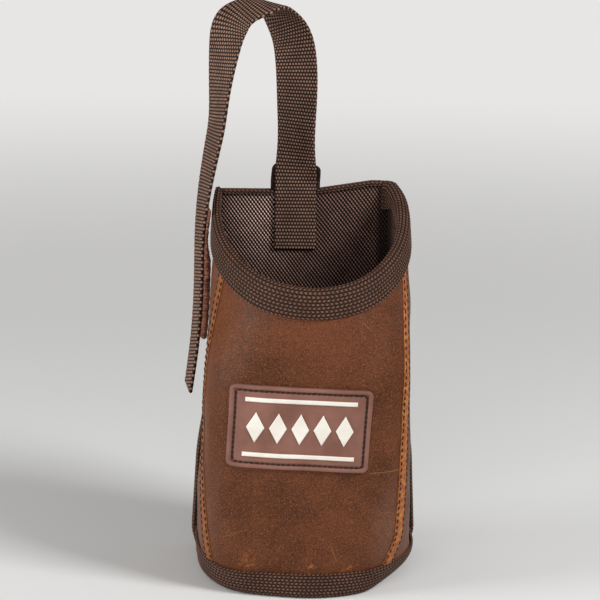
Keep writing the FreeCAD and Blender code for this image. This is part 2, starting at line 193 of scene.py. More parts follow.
# Tape on the back's side edges, and the hem on its top edge, which hangs lower at the strap
BACK_LEG = 9.0
BACK_LAP = 0.4
BACK_TAPE_CORNER = 1.4
BACK_TAPE_FADE = 0.6
BACK_TAPE_GAP = 0.2
BACK_TAPE_SPACING = 0.5
HEM_LEG = 3.0
HEM_FRONT_LEG = 0.6
HEM_CORNER = 1.2
HEM_RELIEF = 0.6
HEM_JOIN_Y = BACK_FACE_Y + 1.0
HEM_STRAP_GAP = 0.3
HEM_DIP = 4.2
HEM_DIP_X = (1.0, 28.0)

# Seams between the panels, as angles round an axis inside the pocket, and their stitches
SEAM_AXIS_Y = 8.0
SEAM_HEIGHTS = (-4.0, 20.0, 50.0, 90.0, 115.0, 135.0, 150.0, 186.0)
SEAM_LEFT = (-58.0, -55.8, -59.3, -64.0, -62.0, -64.0, -62.5, -60.0)
SEAM_RIGHT = (47.5, 46.0, 45.6, 45.6, 51.0, 60.8, 63.5, 66.0)
SEAM_STRIP = 5.4
SEAM_STRIP_THICKNESS = 0.8
SEAM_STRIP_EDGE = 0.25
SEAM_FRAY = 0.07
SEAM_LAP = 0.2
SEAM_SPACING = 0.8
SEAM_COLUMNS = 17
STITCH_MARGIN = 0.6
STITCH_PITCH = 3.0
STITCH_LENGTH = 2.1
STITCH_SUNK = 0.12
STITCH_SHIFT = 0.2
STITCH_LEAN = 0.08
THREAD = 0.62
STITCH_ENDS = np.array([-0.5, 0.5])
STITCH_SIDES = 8
STITCH_RINGS = 7
STITCH_TIP = 0.02

# Label patch: round edge, frame, groove for the thread, and a field with raised shapes
PATCH_SPAN = 61.8
PATCH_HEIGHT = 38.4
PATCH_CORNER = 3.0
PATCH_MIDDLE = (-6.2, 80.2)
PATCH_TILT = math.radians(2.6)
PATCH_THICKNESS = 1.8
PATCH_FRAME = 2.6
PATCH_POCKET = 0.6
PATCH_EDGE = 0.9
PATCH_GRID = (118, 194)
GROOVE_IN = PATCH_FRAME - 0.8
GROOVE_OUT = PATCH_FRAME + 0.5
GROOVE_SLOPE = 0.4
GROOVE_DEPTH = 0.35
PATCH_STITCH = (2.25, 0.8, 0.55)
PATCH_STITCH_PITCH = 2.3
PATCH_STITCH_ENDS = np.array([-0.4, 0.4])
PATCH_STITCH_LEAN = 0.12
PATCH_STITCH_SEED = 7
PATCH_CORNER_POINTS = 9
PATCH_STITCH_MARGIN = PATCH_FRAME + 0.05
PATCH_STITCH_FLOOR = PATCH_THICKNESS - PATCH_POCKET - 0.3
INLAY_BAR = 2.0
INLAY_BAR_GRID = (9, 41)
INLAY_COUNT = 5
INLAY_DIAMOND = 7.0
INLAY_DIAMOND_GRID = (21, 41)
INLAY_FILL = 0.8
INLAY_THICKNESS = 0.5
INLAY_EDGE = 0.35
INLAY_LIFT = 0.02
INLAY_SLANT = 0.85
INLAY_TIP = 0.02

# Strap of flat webbing
STRAP_WIDTH = 19.0
STRAP_THICKNESS = 1.6
STRAP_X = -6.4
STRAP_SIDE = 52.0
STRAP_JOIN = 92.0
STRAP_STEP = 0.05
STRAP_EDGE_ROLL = 0.10
STRAP_ROLL_PLACE = 0.8
STRAP_ROLL_REACH = 0.6
STRAP_EDGE_SHARE = 0.18
STRAP_END_ROUND = 0.6
ANCHOR_LENGTH = 28.2
HINGE_Z = BACK_HEIGHT + 3.0
HINGE_Y = BACK_FACE_Y - GAP - STRAP_THICKNESS / 2
HINGE_ROOM = 1.1
TAIL_START = 166.7
TAIL_BLEND = 16.0
WEB_ACROSS = 1.35
WEB_ALONG = 1.6
WEB_LEAN = 0.3
WEB_LEAN_START = 45.0
WEB_RELIEF = 0.3
WEB_DASH = 0.7
WEB_SUNK = 0.4
WEB_SPACING = 0.5

# Hook tape on the tail, and loop tape on the back with its end behind the riser
HOOK_START = 29.0
HOOK_LENGTH = 62.0
HOOK_WIDTH = 20.6
HOOK_PRESSED = 1.1
HOOK_THICKNESS = 2.9
HOOK_PRESSED_TO = (16.0, 25.0)
HOOK_SPACING = 0.4
LOOP_TAPE_WIDTH = 25.0
LOOP_TAPE_LENGTH = 78.0
LOOP_TAPE_THICKNESS = 1.2
LOOP_TAPE_DROP = 5.0
LOOP_TAPE_EDGE = 0.35
LOOP_TAPE_ROUND = 1.1
LOOP_TAPE_NAP = 0.9
LOOP_NAP_ROUND = 2.0
LOOP_END_HEIGHT = 10.0
LOOP_END_LAP = 2.0
LOOP_END_WIDTH = 22.5
LOOP_END_CORNER = 2.6
LOOP_END_SPACING = 0.3
FUZZ = 0.24

# The strap's route: share of the way from the riser to the side, distance in front of the hinge,
# height above the hinge, and the direction of the strap's width
STRAP_ROUTE = [
    (0.000, 0.0, -2.0, (-1.00, 0.00, 0.00)),
    (0.000, 0.0, 10.0, (-0.90, 0.43, 0.00)),
    (0.002, 1.5, 33.0, (-0.92, 0.40, 0.00)),
    (0.022, 2.6, 55.0, (-0.97, 0.24, 0.00)),
    (0.078, 4.2, 66.0, (-0.95, 0.31, 0.06)),
    (0.182, 6.8, 74.2, (-0.90, 0.42, 0.13)),
    (0.292, 12.4, 80.3, (-0.80, 0.59, 0.14)),
    (0.418, 18.2, 80.2, (-0.81, 0.55, 0.20)),
    (0.533, 20.7, 78.1, (-0.73, 0.67, 0.17)),
    (0.642, 22.1, 74.4, (-0.73, 0.63, 0.25)),
    (0.732, 23.0, 62.7, (-0.64, 0.70, 0.32)),
    (0.776, 20.3, 44.1, (-0.43, 0.86, 0.27)),
    (0.807, 17.2, 24.9, (-0.29, 0.94, 0.18)),
    (0.832, 15.6, 18.0, (-0.26, 0.95, 0.20)),
    (0.897, 11.6, 0.0, (-0.21, 0.96, 0.15)),
    (0.947, 8.6, -21.0, (-0.16, 0.98, 0.08)),
    (0.958, 6.1, -46.0, (-0.14, 0.99, 0.05)),
    (0.986, 4.6, -73.0, (-0.12, 0.99, 0.03)),
    (1.052, 4.1, -98.0, (-0.10, 0.99, 0.00)),
]

# Soft places on the leather as seen from the front, each with its middle and its half width and height:
# painted warm light, painted shade, painted light, painted sheen, and rubbed wear
WARM_LIGHT_SPOTS = [((-40.0, 124.0), (16.0, 24.0))]
SHADE_SPOTS = [((-40.0, 80.0), (11.0, 34.0)), ((36.0, 98.0), (11.0, 30.0))]
LIT_SPOTS = [((2.0, 124.0), (34.0, 18.0))]
SHEEN_SPOTS = [((36.0, 32.0), (15.0, 32.0)), ((-50.0, 30.0), (12.0, 36.0)), ((-50.0, 72.0), (6.0, 40.0)),
              ((45.0, 130.0), (10.0, 20.0))]
RUBBED_SPOTS = [((18.6, 12.4), (7.0, 4.6)), ((-0.5, 14.0), (4.0, 6.0)), ((-28.0, 16.0), (6.0, 9.0))]

# Scratches in the leather, each from one place to another as seen from the front, and its width
SCRATCHES = [((25.3, 59.3), (40.4, 59.6), 0.15), ((-39.0, 28.0), (-28.0, 33.0), 0.08),
             ((8.5, 25.0), (11.5, 17.5), 0.12), ((20.5, 127.5), (24.5, 123.5), 0.10)]

# The left strip is painted darker than the right one: painted shade
STRIP_SHADE_X = (-20.0, -32.0)

# The lining's weave, its painted light at the upper left, and the painted shade in the fold in the right
# corner where the wall meets the back
LINING_ACROSS = 1.62
LINING_ALONG = 1.15
LINING_LIT_SPOT = ((-20.0, 164.0), (26.0, 34.0))
LINING_LIT_COLOUR = (0.95, 0.635, 0.530)
FOLD_X = (29.5, 33.5)
FOLD_Y = (22.0, 31.0)
FOLD_SHADE = 0.8

# Camera, world and floor, and lamps that each have a place and a size in metres, and a power
CAMERA_AZIMUTH = math.radians(-3.25)
CAMERA_ELEVATION = math.radians(13.6)
CAMERA_ROLL = math.radians(1.1)
CAMERA_DISTANCE = 1200.0
CAMERA_TARGET = (0.0, 0.0, 120.0)
PIXELS_PER_MM = 2.232
IMAGE_SIZE = 600
IMAGE_CENTRE = (311, 318)
SENSOR = 36.0
WORLD_LIGHT = 0.25
WORLD_SEEN = 0.80
WORLD_COLOUR = (1.0, 0.99, 0.975, 1.0)
FLOOR_SOLID = 0.30
FLOOR_END = 1.5
FLOOR_Z = -0.0003
LAMP_AIM = (0, 0, 0.1)
LAMPS = [
    ("key", (1.05, -0.80, 1.05), (0.5, 0.5), 20.0),
    ("left", (-1.25, -0.35, 0.30), (0.5, 0.6), 12.5),
    ("front", (-0.35, -1.4, 0.9), (0.8, 0.8), 5.5),
]


# Curves and grids

def ease(value, low, high):
    """0 below low, 1 above high, and a smooth step between."""
    share = np.clip((value - low) / (high - low), 0, 1)
    return share * share * (3 - 2 * share)


def edge_fade(distance, reach):
    """0 at an edge and outside it, close to 1 further in than reach."""
    return 1 - np.exp(-(np.maximum(distance, 0) / reach) ** 2)


def round_over(share):
    """Height of a quarter circle, from 0 at its foot to 1 at its top."""
    return np.sqrt(1 - (1 - np.clip(share, 0, 1)) ** 2)


def steps(low, high, spacing):
    """Evenly spaced values with about the given spacing."""
    return np.linspace(low, high, max(2, round((high - low) / spacing) + 1))


def grid_of(rows, columns):
    return np.meshgrid(rows, columns, indexing="ij")


def square_grid(rows, columns):
    """A grid from -1 to 1 both ways: places up, then across."""
    return grid_of(np.linspace(-1, 1, rows), np.linspace(-1, 1, columns))


def points_of(*coordinates):
    """Points from arrays of their coordinates, of which some may be single values."""
    return np.stack(np.broadcast_arrays(*coordinates), axis=-1)


def unit(vectors):
    return vectors / np.linalg.norm(vectors, axis=-1, keepdims=True)


def lengths(points):
    """Distance along a row of points."""
    gaps = np.linalg.norm(np.diff(points, axis=0), axis=1)
    return np.concatenate([[0.0], np.cumsum(gaps)])


def evened(points, distance):
    """Points at given distances along a row of points."""
    travel = lengths(points)
    return np.stack([np.interp(distance, travel, values) for values in points.T], axis=1)


def smooth_curve(points, travel):
    """A natural cubic curve through points at given distances, as a function of distance."""
    points = np.asarray(points, float)
    count = len(travel)
    gap = np.diff(travel)
    matrix = np.eye(count)
    right = np.zeros_like(points)
    slope = np.diff(points, axis=0) / gap[:, None]
    for row in range(1, count - 1):
        matrix[row, row - 1:row + 2] = gap[row - 1], 2 * (gap[row - 1] + gap[row]), gap[row]
        right[row] = 6 * (slope[row] - slope[row - 1])
    bend = np.linalg.solve(matrix, right)

    def value(distance):
        index = np.clip(np.searchsorted(travel, distance) - 1, 0, count - 2)
        a = (travel[index + 1] - distance)[:, None]
        b = (distance - travel[index])[:, None]
        h = gap[index][:, None]
        curve = (bend[index] * a ** 3 + bend[index + 1] * b ** 3) / (6 * h)
        start = points[index] / h - bend[index] * h / 6
        end = points[index + 1] / h - bend[index + 1] * h / 6
        return curve + start * a + end * b

    return value


# Wall surface

def at_height(values, height):
    """A smooth value from the base to the top of the back, with a bulge at half height."""
    base, bulge, top = values
    share = height / BACK_HEIGHT
    return base + (top - base) * share + 4 * bulge * share * (1 - share)


def back_half_width(height):
    """Half the distance between the wall's two back seams."""
    base = HALF_WIDTH[0] - BACK_TUCK_BASE
    top = HALF_WIDTH[2] - BACK_TUCK_TOP
    return base + (top - base) * height / BACK_HEIGHT


def left_bulge(height):
    """How far the left side stands out at a height."""
    return LEFT_BULGE * ease(height, *LEFT_BULGE_LOW) * (1 - ease(height, *LEFT_BULGE_HIGH))


def corner_cut(points, height):
    """How far points of the outline are drawn in at the front corners: to the left, and to the back."""
    low = 1 - np.clip(height / CORNER_CUT_HEIGHT, 0, 1)
    front = low ** 2 * (1 - ease(points[:, 1], *CORNER_CUT_Y)) * math.sqrt(0.5)
    left = CORNER_CUT_LEFT * ease(-points[:, 0], *CORNER_CUT_LEFT_X) * front
    right = CORNER_CUT_RIGHT * ease(points[:, 0], *CORNER_CUT_RIGHT_X) * front
    return right - left, right + left


def flattened(points, height):
    """The outline with a flatter front and tighter corners, less so near the base and the mouth."""
    x, y = points.T
    leftward = ease(-x, 0.0, FLAT_LEFT_REACH)
    low = ease(height, *FLAT_LOW) * (1 - leftward) + ease(height, *FLAT_LOW_LEFT) * leftward
    weight = low * (1 - ease(height, *FLAT_HIGH))
    widest = y[np.argmax(x)]
    across = np.minimum(np.abs(x) / x.max(), 1)
    square = (1 - across ** FLAT_POWER) ** (1 / FLAT_POWER)
    circle = np.sqrt(1 - across ** 2)
    forward = np.where(y < widest, (widest - y.min()) * (square - circle) - FLAT_PUSH * square, 0)
    behind = np.clip((y - widest) / (WALL_END_Y - widest), 0, 1)
    spread = LEFT_SPREAD * ease(height, *LEFT_SPREAD_HEIGHTS) * behind ** 2
    spread = spread + left_bulge(height) * across ** LEFT_BULGE_POWER
    moved = x * (1 - weight * FLAT_NARROW) + weight * FLAT_SHIFT - np.where(x < 0, spread, 0)
    to_left, to_back = corner_cut(points, height)
    return points_of(moved - to_left, y - weight * forward + to_back)


def outline(height):
    """Points and outward directions along the wall at one height, evenly spaced, left to right,
    and its length."""
    half_width = at_height(HALF_WIDTH, height)
    side_radius = at_height(SIDE_RADIUS, height)
    sine = math.sin(FRONT_ARC_HALF_ANGLE)
    front_radius = (half_width - side_radius * (1 - sine)) / sine
    front_centre = at_height(FRONT_Y, height) + front_radius
    side_x = half_width - side_radius
    side_y = front_centre + (side_radius - front_radius) * math.cos(FRONT_ARC_HALF_ANGLE)
    tuck = half_width - back_half_width(height)
    depth = BACK_FACE_Y - side_y
    tuck_radius = (tuck * tuck + depth * depth) / (2 * tuck)
    end_angle = math.asin((WALL_END_Y - side_y) / tuck_radius)
    corner = math.pi / 2 - FRONT_ARC_HALF_ANGLE
    arcs = [
        (0.0, front_centre, front_radius, -math.pi / 2, -corner),
        (side_x, side_y, side_radius, -corner, 0.0),
        (half_width - tuck_radius, side_y, tuck_radius, 0.0, end_angle),
    ]
    half = []
    for x, y, radius, start, end in arcs:
        angle = np.linspace(start, end, ARC_POINTS)
        half.append(points_of(x + radius * np.cos(angle), y + radius * np.sin(angle)))
    half = np.concatenate(half)
    points = flattened(np.concatenate([half[:0:-1] * MIRROR, half]), height)
    length = lengths(points)[-1]
    points = evened(points, np.linspace(0, length, TABLE_COLUMNS))
    run = unit(np.gradient(points, axis=0))
    return np.column_stack([points, run[:, 1], -run[:, 0]]), length


TABLE_HEIGHTS = TABLE_LOW + TABLE_STEP * np.arange(TABLE_ROWS)
OUTLINES = [outline(height) for height in TABLE_HEIGHTS]
WALL_TABLE = np.stack([columns for columns, _ in OUTLINES])
WALL_LENGTH = np.array([length for _, length in OUTLINES])


def look_up(u, z):
    """Position and outward direction in plan, at a share u of the way round and a height z."""
    row = np.clip((z - TABLE_LOW) / TABLE_STEP, 0, TABLE_ROWS - TABLE_END)
    column = np.clip(u, 0, 1) * (TABLE_COLUMNS - TABLE_END)
    r = row.astype(int)
    c = column.astype(int)
    fr = (row - r)[..., None]
    fc = (column - c)[..., None]
    low = WALL_TABLE[r, c] * (1 - fc) + WALL_TABLE[r, c + 1] * fc
    high = WALL_TABLE[r + 1, c] * (1 - fc) + WALL_TABLE[r + 1, c + 1] * fc
    return low * (1 - fr) + high * fr


def seam_table(seam):
    """The share of the way round at which a seam lies, for each height of the table."""
    places = np.linspace(0, 1, TABLE_COLUMNS)
    line = smooth_curve(np.array(seam)[:, None], np.array(SEAM_HEIGHTS))(TABLE_HEIGHTS)[:, 0]
    angles = np.degrees(np.arctan2(WALL_TABLE[..., 0], SEAM_AXIS_Y - WALL_TABLE[..., 1]))
    return np.array([np.interp(angle, row, places) for angle, row in zip(line, angles)])


SEAM_PLACES = {"left": seam_table(SEAM_LEFT), "right": seam_table(SEAM_RIGHT)}
MOUTH_SLOPE = (BACK_HEIGHT - FRONT_HEIGHT) / (BACK_FACE_Y - at_height(FRONT_Y, FRONT_HEIGHT))
MOUTH_LIFT = math.hypot(1, MOUTH_SLOPE)


def seam_u(side, z):
    return np.interp(z, TABLE_HEIGHTS, SEAM_PLACES[side])


def wall_length(z):
    return np.interp(z, TABLE_HEIGHTS, WALL_LENGTH)


def mouth_height(u, y):
    """Height of the slanted mouth, which hangs lower at the left end than at the right."""
    drop = np.interp(u, (0.0, 0.5, 1.0), MOUTH_DROP)
    return BACK_HEIGHT - drop + MOUTH_SLOPE * (y - BACK_FACE_Y)


def below_tape(u, z):
    """Distance below the mouth tape's lower edge, measured square to the mouth."""
    return (mouth_height(u, look_up(u, z)[..., 1]) - z) / MOUTH_LIFT - MOUTH_LEG


def dents(u, z):
    """Shallow bulges and hollows in the padding, always the same."""
    total = 0.0
    for across, up, phase in DENT_WAVES:
        total = total + np.sin(2 * np.pi * (u * DENT_ROUND / across + z / up) + phase)
    return DENT * total / 2


def swell(u, z):
    """How far the leather stands out: not at all at seams and edges, out on the front, in on the sides."""
    length = wall_length(z)
    left, right = seam_u("left", z), seam_u("right", z)
    sides = np.minimum(u, 1 - u) * length
    seams = np.minimum(np.abs(u - left), np.abs(u - right)) * length
    edges = np.minimum(z - BASE_LEG, below_tape(u, z))
    fade = edge_fade(np.minimum(seams, sides), PILLOW_EDGE) * edge_fade(edges, PILLOW_EDGE)
    front = (u > left) & (u < right)
    return fade * (np.where(front, PILLOW, -PILLOW) + left_bulge(z) * (u < left) + dents(u, z))


def pinch(u):
    """How much the mouth's tape presses the padding together, round the wall."""
    return np.interp(u, PINCH_PLACES, PINCH)


def thickness_left(u, z):
    """Share of the wall's thickness that is left: the tape presses the padding thin at the mouth."""
    return 1 - pinch(u) * (1 - edge_fade(below_tape(u, z), PINCH_REACH))


def plain_wall(u, z, inset):
    """Points on the wall's plain form, moved in by inset from its outline."""
    u, z, inset = np.broadcast_arrays(np.asarray(u, float), np.asarray(z, float), inset)
    x, y, out_x, out_y = np.moveaxis(look_up(u, z), -1, 0)
    return points_of(x - out_x * inset, y - out_y * inset, z)


def wall_at(u, z, inset, swollen=True):
    """Points on the padded wall, swollen between its seams and pressed thin at the mouth."""
    inset = np.where(np.asarray(inset) > 0, inset * thickness_left(u, z), inset)
    if swollen:
        inset = inset - swell(u, z)
    return plain_wall(u, z, inset)


def below_mouth(u, inset, drop):
    """The height that lies drop below the slanted mouth, measured square to it."""
    u, inset, drop = np.broadcast_arrays(u, inset, drop)
    z = np.full(u.shape, FRONT_HEIGHT)
    for _ in range(8):
        z = mouth_height(u, plain_wall(u, z, inset)[..., 1]) - drop * MOUTH_LIFT
    return z


# Meshes

class Builder:
    """Collects grids of points and quads, with real lengths as texture coordinates."""

    def __init__(self):
        self.rows = {"point": [], "uv": []}
        self.faces = {"point": [], "uv": []}

    def add(self, kind, grid):
        """Adds a grid of points and gives their numbers, in the grid's own shape."""
        start = sum(len(block) for block in self.rows[kind])
        self.rows[kind].append(grid.reshape(-1, grid.shape[-1]))
        return start + np.arange(grid[..., 0].size).reshape(grid.shape[:-1])

    def add_quads(self, ids, uv_ids):
        for kind, grid in (("point", ids), ("uv", uv_ids)):
            corners = [grid[:-1, :-1], grid[:-1, 1:], grid[1:, 1:], grid[1:, :-1]]
            self.faces[kind].append(np.stack(corners, axis=-1).reshape(-1, 4))

    def add_shell(self, outer, inner, uv, closed=False):
        """A closed sheet with two faces and a rim, or a ring of it when closed."""
        a = self.add("point", outer)
        b = self.add("point", inner)
        t = self.add("uv", uv)
        if closed:
            a = np.concatenate([a, a[:1]])
            b = np.concatenate([b, b[:1]])
        self.add_quads(a, t)
        self.add_quads(b[:, ::-1], t[:, ::-1])
        rims = [(b[:, 0], a[:, 0], t[:, 0], 1), (a[:, -1], b[:, -1], t[:, -1], 1)]
        if not closed:
            rims += [(b[0], a[0], t[0], 0), (a[-1], b[-1], t[-1], 0)]
        for first, second, edge, axis in rims:
            self.add_quads(np.stack([first, second], axis), np.stack([edge, edge], axis))

    def add_stitch(self, start, end, up, size, sunk, lean):
        """A short rounded stitch between two points, sized by length, width and height, turned by lean."""
        along = unit(end - start)
        across = np.cross(along, up)
        along = along + across * lean
        long, wide, high = size
        turns = np.linspace(0, 2 * np.pi, STITCH_SIDES + 1)
        shares = np.linspace(-1, 1, STITCH_RINGS)
        girth = np.sqrt(np.maximum(1 - np.abs(shares) ** 3, STITCH_TIP))[:, None, None]
        ring = np.cos(turns)[:, None] * across * wide / 2 + np.sin(turns)[:, None] * up * high / 2
        bow = ((1 - shares ** 2) * high / 4)[:, None, None]
        middle = (start + end) / 2 - up * sunk
        grid = middle + shares[:, None, None] * along * long / 2 + girth * ring + bow * up
        ids = self.add("point", grid[:, :-1])
        ids = np.concatenate([ids, ids[:, :1]], axis=1)
        uv_ids = self.add("uv", points_of(turns * wide / 2, (shares * long / 2)[:, None]))
        self.add_quads(ids, uv_ids)
        half = STITCH_SIDES // 2
        for tip in (0, -1):
            caps = [np.stack([row[tip, :half + 1], row[tip, :half - 1:-1]]) for row in (ids, uv_ids)]
            self.add_quads(*caps)

    def make(self, name, slot, nodes=None, body="carrier"):
        """The finished object, riding on its body in place of its nodes."""
        points = np.concatenate(self.rows["point"]) * MM
        uvs = np.concatenate(self.rows["uv"]) * MM
        mesh = bpy.data.meshes.new(name + "_shape")
        mesh.from_pydata(points.tolist(), [], np.concatenate(self.faces["point"]).tolist())
        layer = mesh.uv_layers.new(name="cloth")
        layer.data.foreach_set("uv", uvs[np.concatenate(self.faces["uv"]).ravel()].ravel())
        shape = bmesh.new()
        shape.from_mesh(mesh)
        bmesh.ops.remove_doubles(shape, verts=shape.verts, dist=1e-7)
        bmesh.ops.recalc_face_normals(shape, faces=shape.faces)
        shape.to_mesh(mesh)
        shape.free()
        mesh.shade_smooth()
        mesh.materials.append(MATERIALS[slot])
        obj = add_object(name + "_shape", mesh)
        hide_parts(*(nodes or [name]))
        if body:
            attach(obj, body)
        return obj


def add_object(name, data):
    obj = bpy.data.objects.new(name, data)
    bpy.context.scene.collection.objects.link(obj)
    return obj


def make_shell(name, slot, outer, inner, uv, closed=False, **options):
    """A piece that is one shell."""
    builder = Builder()
    builder.add_shell(outer, inner, uv, closed)
    return builder.make(name, slot, **options)


# Materials

class Shader:
    """A short way to write a node material."""

    def __init__(self, name):
        self.material = bpy.data.materials.new(name)
        self.material.use_nodes = True
        self.tree = self.material.node_tree
        self.surface = self.tree.nodes["Principled BSDF"]

    def link(self, value, socket):
        """Puts another node's output, a colour or a number into a socket."""
        if isinstance(value, bpy.types.NodeSocket):
            self.tree.links.new(value, socket)
        elif socket.type == "RGBA":
            socket.default_value = (*value, 1.0)
        else:
            socket.default_value = value

    def node(self, kind, inputs=None, **settings):
        """A new node with its inputs and settings."""
        made = self.tree.nodes.new("ShaderNode" + kind)
        for key, value in settings.items():
            setattr(made, key, value)
        for key, value in (inputs or {}).items():
            self.link(value, made.inputs[key])
        return made

    def math(self, operation, *values):
        return self.node("Math", dict(enumerate(values)), operation=operation).outputs[0]

    def times(self, a, b):
        return self.math("MULTIPLY", a, b)

    def vector(self, operation, *values):
        return self.node("VectorMath", dict(enumerate(values)), operation=operation).outputs

    def mix(self, share, a, b):
        return self.node("Mix", {0: share, 6: a, 7: b}, data_type="RGBA").outputs[2]

    def spread(self, value, low, high, to_low=0.0, to_high=1.0):
        """A smooth step from one pair of values to another."""
        names = {"Value": value, "From Min": low, "From Max": high, "To Min": to_low, "To Max": to_high}
        return self.node("MapRange", names, interpolation_type="SMOOTHSTEP").outputs[0]

    def tint(self, value, low, high, a, b, most=1.0):
        """Colour a where a value is at low, and at most that share of b where it is at high."""
        return self.mix(self.spread(value, low, high, 0.0, most), a, b)

    def place(self):
        """The point in the frame, in metres."""
        return self.node("TexCoord").outputs["Object"]

    def parts(self, vector):
        return self.node("SeparateXYZ", {0: vector}).outputs

    def cloth(self):
        """Distance across and along the material, in metres."""
        return self.node("UVMap", uv_map="cloth").outputs[0]

    def noise(self, size, detail=2.0, rough=0.5, vector=None, output="Fac"):
        """Noise with features of about size millimetres."""
        inputs = {"Scale": 1 / (size * MM), "Detail": detail, "Roughness": rough,
                  "Vector": vector or self.place()}
        return self.node("TexNoise", inputs).outputs[output]

    def warped(self, size, reach):
        """The point in the frame, pushed about by noise."""
        shift = self.noise(size, output="Color")
        return self.vector("MULTIPLY_ADD", shift, (reach * MM,) * 3, self.place())[0]

    def cells(self, size, feature="DISTANCE_TO_EDGE", vector=None):
        inputs = {"Scale": 1 / (size * MM), "Vector": vector or self.place()}
        return self.node("TexVoronoi", inputs, feature=feature).outputs["Distance"]

    def wave(self, distance, pitch, phase=0.0):
        """Cosine of a distance in metres, with a pitch in millimetres."""
        turns = self.times(distance, 2 * math.pi / (pitch * MM))
        return self.math("COSINE", self.math("ADD", turns, phase))

    def soft_spot(self, centre, reach):
        """1 in the middle of a soft round place seen from the front, and 0 outside it, in millimetres."""
        offset = self.vector("SUBTRACT", self.place(), (centre[0] * MM, 0.0, centre[1] * MM))[0]
        scaled = self.vector("MULTIPLY", offset, (1 / (reach[0] * MM), 0.0, 1 / (reach[1] * MM)))[0]
        return self.spread(self.vector("LENGTH", scaled)["Value"], 1.0, 0.1)

    def spotted(self, colour, spots, strength, tint):
        """A colour with a tint over soft places."""
        for spot in spots:
            colour = self.mix(self.times(self.soft_spot(*spot), strength), colour, tint)
        return colour

    def scratch(self, start, end, width):
        """1 on a thin straight line between two points in millimetres, seen from the front."""
        a = Vector((start[0], 0.0, start[1])) * MM
        run = Vector((end[0], 0.0, end[1])) * MM - a
        flat = self.vector("MULTIPLY", self.place(), (1.0, 0.0, 1.0))[0]
        offset = self.vector("SUBTRACT", flat, tuple(a))[0]
        dot = self.vector("DOT_PRODUCT", offset, tuple(run / run.length_squared))["Value"]
        share = self.math("MAXIMUM", self.math("MINIMUM", dot, 1.0), 0.0)
        along = self.node("VectorMath", {0: tuple(run), "Scale": share}, operation="SCALE").outputs[0]
        gap = self.vector("DISTANCE", offset, along)["Value"]
        wobble = self.times(self.noise(4.0), width * 1.5 * MM)
        return self.spread(self.math("SUBTRACT", gap, wobble), width * MM, 0.0)

    def finish(self, colour, roughness, specular, *bumps):
        """Sets the surface, with bumps that are each a height and its real size in millimetres."""
        self.link(colour, self.surface.inputs["Base Color"])
        self.link(roughness, self.surface.inputs["Roughness"])
        self.surface.inputs["Specular IOR Level"].default_value = specular
        normal = None
        for height, distance in bumps:
            made = self.node("Bump", {"Height": height, "Distance": distance * MM, "Strength": 1.0})
            if normal:
                self.link(normal, made.inputs["Normal"])
            normal = made.outputs[0]
        if normal:
            self.link(normal, self.surface.inputs["Normal"])
        return self.material

    def fade_out(self, near, far):
        """Makes the surface clear further from the frame's middle than near, and gone at far."""
        distance = self.vector("LENGTH", self.place())["Value"]
        clear = self.node("BsdfTransparent").outputs[0]
        layers = {0: self.spread(distance, near, far), 1: self.surface.outputs[0], 2: clear}
        mixed = self.node("MixShader", layers).outputs[0]
        self.link(mixed, self.tree.nodes["Material Output"].inputs["Surface"])


def leather_material():
    """Waxed leather: mottled, with fine specks, scratches and rubbed edges, and with painted light, shade
    and sheen in soft places.
    """
    shader = Shader("brown_leather")
    patchy = shader.noise(9.0, 4.0, 0.6)
    speck = shader.noise(0.62, 4.0, 0.8)
    flecks = shader.noise(2.4, 3.0, 0.7)
    mottle = shader.math("ADD", shader.times(shader.noise(34.0, 3.0), 0.62), shader.times(patchy, 0.38))
    colour = shader.tint(mottle, 0.36, 0.64, (0.073, 0.0238, 0.0098), (0.120, 0.0392, 0.0160))
    # Painted light: a warm glow on the front's upper left
    colour = shader.spotted(colour, WARM_LIGHT_SPOTS, 0.75, (0.130, 0.0380, 0.0090))
    # Painted shade on the front's left and right at half height
    colour = shader.spotted(colour, SHADE_SPOTS, 0.85, (0.078, 0.0205, 0.0045))
    # Painted light under the middle of the mouth
    colour = shader.spotted(colour, LIT_SPOTS, 0.7, (0.150, 0.0480, 0.0200))
    # Painted sheen: a patchy greyish reflection along the sides
    sheen_share = shader.spread(patchy, 0.2, 0.7, 0.25, 0.7)
    colour = shader.spotted(colour, SHEEN_SPOTS, sheen_share, (0.150, 0.0760, 0.0520))
    colour = shader.tint(speck, 0.50, 0.68, colour, (0.28, 0.094, 0.035), 0.85)
    colour = shader.tint(speck, 0.49, 0.32, colour, (0.030, 0.0092, 0.0044), 0.85)
    worn = 0.0
    for scratch in SCRATCHES:
        worn = shader.math("MAXIMUM", worn, shader.scratch(*scratch))
    colour = shader.mix(shader.times(worn, 0.34), colour, (0.40, 0.20, 0.075))
    rubbed = shader.spread(flecks, 0.48, 0.66, 0.0, 0.8)
    colour = shader.spotted(colour, RUBBED_SPOTS, rubbed, (0.36, 0.125, 0.040))
    grain = shader.spread(shader.cells(0.85, vector=shader.warped(2.0, 0.35)), 0.0, 0.22)
    creases = shader.spread(shader.cells(7.0, vector=shader.warped(6.0, 3.0)), 0.0, 0.03)
    roughness = shader.spread(patchy, 0.3, 0.7, 0.40, 0.58)
    bumps = [(grain, 0.035), (creases, 0.05), (shader.noise(0.30), 0.05)]
    return shader.finish(colour, roughness, 0.14, *bumps)


